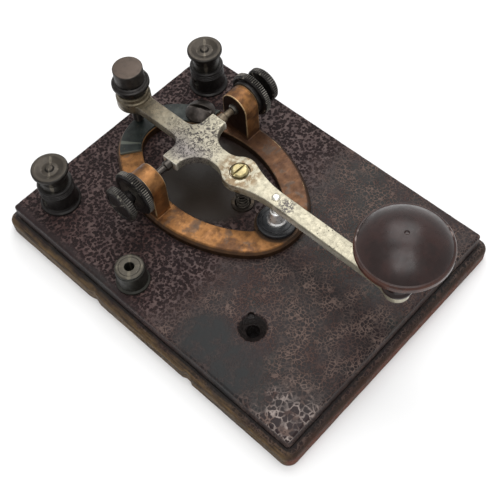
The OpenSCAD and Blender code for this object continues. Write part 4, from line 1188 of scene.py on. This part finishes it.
def build_knob(trim):
    """The turned knob with its domed crown and waisted neck, and the screw that holds it."""
    r, h = (KNOB_HIGH.x - KNOB_LOW.x) / 2, KNOB_HIGH.z - KNOB_LOW.z
    rim, edge = h - KNOB_DOME, r - 0.9
    crown = [(edge * sin(radians(a)), rim + KNOB_DOME * cos(radians(a)) ** 1.7) for a in range(85, 4, -4)]
    profile = [(1.78, 0), (4.9, 0, 0.2), (4.9, 0.9, 0.3), (4.2, 1.7, 0.5), (3.9, 8.3, 3.0), (5.2, 13.2, 3.0),
               (9.6, 17.3, 2.5), (r - 1.6, rim - 3.7, 0.8), (r - 0.35, rim - 2.9, 0.6), (r, rim - 2.3, 0.4),
               (r, rim - 0.75, 0.4), (r - 0.35, rim - 0.1, 0.3), (edge, rim, 0.1), *crown, (0.75, h, 0.25),
               (0.45, h - 0.35, 0.1), (0, h - 0.4)]
    knob = put(lathe("knob_body", [(0, h / 2), (1.78, h / 2)] + profile, 128), (KNOB.x, KNOB.y, KNOB_LOW.z))
    fit_out(knob, knob_composition(trim), "lever", "knob_composition", "knob")
    low, high = box("knob_screw")
    base = LEVER_BASE
    foot, end = low.z - base, high.z - base
    profile = [(0, foot), (2.4, foot, 0.3), (3.1, foot + 0.6, 0.2), (3.1, 0), (1.75, 0), (1.75, end), (0, end)]
    screw = lathe("knob_fixing_screw", profile, 56)
    combine(screw, bar(8, 0.8, 1.4, (0, 0, foot)))
    put(screw, (KNOB.x, KNOB.y, base))
    steel = turned_metal("dull_steel", (0.28, 0.26, 0.22), (0.6, 0.57, 0.5), 0.85)
    fit_out(screw, steel, "lever", "worn_nickel", "knob_screw")


# ---------------------------------------------------------------------------
# Terminals
# ---------------------------------------------------------------------------

def build_terminals(trim):
    """The two binding posts with their dished thumb screws, and the bare post."""
    black = turned_metal("terminal_barrel", trim.black, (0.10, 0.095, 0.080), 0.65, (0.32, 0.50), 0.6)
    dish = turned_metal("thumb_dish", (0.016, 0.014, 0.012), (0.15, 0.13, 0.10), 0.65, (0.34, 0.50), 0.6,
                        trim.olive)
    ground = BOARD_HIGH.z
    for side in ("left", "right"):
        at = middle(f"post_{side}")
        low, high = box(f"post_{side}")
        h, foot = high.z - ground, low.z - ground
        r = 6.1
        ridges = [p for z in (h - 3.0, h - 2.2, h - 1.4)
                  for p in ((r, z, 0.12), (r - 0.4, z + 0.25, 0.1), (r, z + 0.5, 0.12))]
        barrel = [(0, foot), (ROD, foot), (ROD, 0), (7.1, 0, 0.15), (7.1, 0.8, 0.3), (r + 0.35, 1.3, 0.3),
                  (r, 2.1, 0.4), *ridges, (r, h - 0.45, 0.2), (r - 0.45, h, 0.2), (1.75, h), (1.75, h - 4.8),
                  (0, h - 4.8)]
        post = lathe(f"terminal_{side}_barrel", barrel, 84)
        combine(post, rod(1.2, -9, 9, (0, 0, h / 2), RIGHT, 32))
        put(post, (at.x, at.y, ground))
        fit_out(post, black, "base", "dark_bronze", f"post_{side}")
        low, high = box(f"thumb_screw_{side}")
        base, top = ground + h, high.z - ground - h
        neck, rim = 4.9, (high.x - low.x) / 2
        profile = [(0, low.z - base), (1.65, low.z - base, 0.2), (1.7, 0.05), (neck, 0.05, 0.2),
                   (neck - 0.4, top * 0.30, 0.6), (neck + 0.2, top * 0.70, 0.5), (rim - 0.5, top * 0.77, 0.3),
                   (rim, top * 0.83, 0.2), (rim, top - 0.4, 0.3), (rim - 0.5, top, 0.3),
                   (rim - 1.5, top - 0.05, 0.5), (2.9, top - 1.0, 0.8), (1.6, top - 0.75, 0.4),
                   (1.15, top - 0.1, 0.4), (0, top)]
        screw = put(lathe(f"thumb_{side}_dish", profile, 84), (at.x, at.y, base))
        fit_out(screw, dish, f"thumb_screw_{side}", "worn_bronze", f"thumb_screw_{side}")
    at = middle("bare_post")
    low, high = box("bare_post")
    h, foot, r = high.z - ground, low.z - ground, 4.8
    stub = [(0, foot), (ROD, foot), (ROD, 0), (r + 0.9, 0, 0.2), (r + 0.9, 0.8, 0.3), (r + 0.2, 1.3, 0.4),
            (r + 0.15, h - 1.7, 0.2), (r + 0.1, h - 1.2, 0.15), (r - 0.15, h - 1.0, 0.1),
            (r - 0.15, h - 0.8, 0.1), (r, h - 0.6, 0.1), (r, h - 0.25, 0.2), (r - 0.5, h, 0.2),
            (r - 1.1, h, 0.05), (r - 1.25, h - 0.12, 0.05), (r - 1.4, h, 0.05), (1.75, h, 0.1), (1.6, h - 0.2),
            (1.6, h - 6), (0, h - 6)]
    post = put(lathe("bare_terminal", stub, 84), (at.x, at.y, ground))
    olive = turned_metal("olive_post", (0.015, 0.0145, 0.0115), (0.12, 0.105, 0.075), 0.55, (0.36, 0.52), 0.6,
                         (0.058, 0.050, 0.037))
    fit_out(post, olive, "base", "worn_bronze", "bare_post")


# ---------------------------------------------------------------------------
# Underside
# ---------------------------------------------------------------------------

def build_underside():
    """The nuts and straps that join the fittings under the board."""
    brass = plain_brass()
    for node in ("frame_strap", "anvil_strap"):
        paint(node, brass)
    paint("anvil_lower_washer", black_rubber())
    low, high = box("frame_screw_nut")
    across = (high.x - low.x) / 2
    for name, at, node in (("frame_nut", STUDS[3], "frame_screw_nut"), ("contact_nut", STUDS[4], "anvil_nut"),
                           ("terminal_nut_left", STUDS[0], "terminal_nuts"),
                           ("terminal_nut_right", STUDS[1], "terminal_nuts"),
                           ("bare_nut", STUDS[2], "terminal_nuts")):
        nut = put(hex_nut(name, across, high.z - low.z, ROD_BORE), (*at, low.z))
        fit_out(nut, brass, "base", "bright_brass", node)


# ---------------------------------------------------------------------------
# Stage
# ---------------------------------------------------------------------------

def build_stage():
    """A pale floor, two broad soft lights, a pale sky and the camera."""
    scene = bpy.context.scene
    reach, drop = 900, -0.02
    floor = solid("floor", [(a * reach, b * reach, drop) for a, b in ((-1, -1), (1, -1), (1, 1), (-1, 1))],
                  [[0, 1, 2, 3]])
    pale = Surface("pale_floor", roughness=0.9, Base_Color=(0.82, 0.82, 0.82, 1.0))
    floor.data.materials.append(pale.finish())
    for name, place, width, power in (("window", (0.28, 0.16, 0.56), 0.50, 2.2),
                                      ("overhead", (-0.15, -0.17, 0.64), 0.42, 1.9)):
        light = bpy.data.lights.new(name, "AREA")
        light.size, light.energy = width, power
        lamp = bpy.data.objects.new(name, light)
        lamp.location = place
        lamp.rotation_euler = (-Vector(place)).to_track_quat("-Z", "Y").to_euler()
        scene.collection.objects.link(lamp)
    world = bpy.data.worlds.new("pale_sky")
    world.use_nodes = True
    background = world.node_tree.nodes["Background"]
    background.inputs["Color"].default_value = (1.0, 1.0, 1.0, 1.0)
    background.inputs["Strength"].default_value = 0.75
    scene.world = world
    scene.view_settings.view_transform = "Standard"
    camera = bpy.data.cameras.new("camera")
    camera.lens, camera.sensor_width = 65.05, 36.0
    eye = bpy.data.objects.new("camera", camera)
    eye.location = (-0.1139, -0.1271, 0.2659)
    eye.rotation_euler = (radians(31.94), radians(2.79), radians(-46.99))
    scene.collection.objects.link(eye)
    scene.camera = eye


# ---------------------------------------------------------------------------
# Operators, panel and registration
# ---------------------------------------------------------------------------

def settings():
    """The scene's telegraph key settings."""
    return bpy.context.scene.telegraph_key


class KEY_OT_board(bpy.types.Operator):
    """Build the moulded board with its crazed varnish"""
    bl_idname = "telegraph_key.board"
    bl_label = "Board"

    def execute(self, context):
        build_board(settings().board)
        return {"FINISHED"}


class KEY_OT_frame(bpy.types.Operator):
    """Build the brass ring with its horns, the stop plate and the frame screw"""
    bl_idname = "telegraph_key.frame"
    bl_label = "Brass frame"

    def execute(self, context):
        look = settings().frame
        oval = Oval(look)
        build_ring(look, oval)
        build_stop_plate(look, oval)
        build_frame_screw(look)
        return {"FINISHED"}


class KEY_OT_contacts(bpy.types.Operator):
    """Build the fixed contact, its bush, the spring cup and the spring"""
    bl_idname = "telegraph_key.contacts"
    bl_label = "Contacts and spring"

    def execute(self, context):
        build_contacts(settings().trim)
        build_spring()
        return {"FINISHED"}


class KEY_OT_lever(bpy.types.Operator):
    """Build the lever with its contact rivet and pivot pins"""
    bl_idname = "telegraph_key.lever"
    bl_label = "Lever"

    def execute(self, context):
        look = settings().lever
        build_lever(look)
        build_rivet_and_pins(look)
        return {"FINISHED"}


class KEY_OT_screws(bpy.types.Operator):
    """Build the pivot screws, the rear adjusting screw, the spring screw and their nuts"""
    bl_idname = "telegraph_key.screws"
    bl_label = "Adjusting screws"

    def execute(self, context):
        build_pivot_screws(settings().trim)
        build_rear_screw()
        build_spring_screw()
        return {"FINISHED"}


class KEY_OT_knob(bpy.types.Operator):
    """Build the knob and its screw"""
    bl_idname = "telegraph_key.knob"
    bl_label = "Knob"

    def execute(self, context):
        build_knob(settings().trim)
        return {"FINISHED"}


class KEY_OT_terminals(bpy.types.Operator):
    """Build the binding posts, their thumb screws and the bare post"""
    bl_idname = "telegraph_key.terminals"
    bl_label = "Terminals"

    def execute(self, context):
        build_terminals(settings().trim)
        return {"FINISHED"}


class KEY_OT_underside(bpy.types.Operator):
    """Finish the nuts, straps and washer under the board"""
    bl_idname = "telegraph_key.underside"
    bl_label = "Underside"

    def execute(self, context):
        build_underside()
        return {"FINISHED"}


class KEY_OT_stage(bpy.types.Operator):
    """Set up the floor, the lights and the camera"""
    bl_idname = "telegraph_key.stage"
    bl_label = "Stage"

    def execute(self, context):
        build_stage()
        return {"FINISHED"}


OPERATORS = (KEY_OT_stage, KEY_OT_board, KEY_OT_frame, KEY_OT_contacts, KEY_OT_lever, KEY_OT_screws,
             KEY_OT_knob, KEY_OT_terminals, KEY_OT_underside)


class KEY_PT_panel(bpy.types.Panel):
    """Lists the pieces of the telegraph key"""
    bl_idname = "KEY_PT_panel"
    bl_label = "Telegraph Key"
    bl_space_type = "VIEW_3D"
    bl_region_type = "UI"
    bl_category = "Telegraph Key"

    def draw(self, context):
        for operator in OPERATORS:
            self.layout.operator(operator.bl_idname)


CLASSES = (BoardSettings, FrameSettings, LeverSettings, TrimSettings, KeySettings, *OPERATORS, KEY_PT_panel)


def register():
    """Registers the classes and adds the settings to the scene."""
    for cls in CLASSES:
        bpy.utils.register_class(cls)
    bpy.types.Scene.telegraph_key = PointerProperty(type=KeySettings)


def unregister():
    """Removes the settings and the classes."""
    del bpy.types.Scene.telegraph_key
    for cls in reversed(CLASSES):
        bpy.utils.unregister_class(cls)


def main():
    """Builds the whole key."""
    register()
    for operator in OPERATORS:
        area, name = operator.bl_idname.split(".")
        getattr(getattr(bpy.ops, area), name)()


if __name__ == "__main__":
    main()
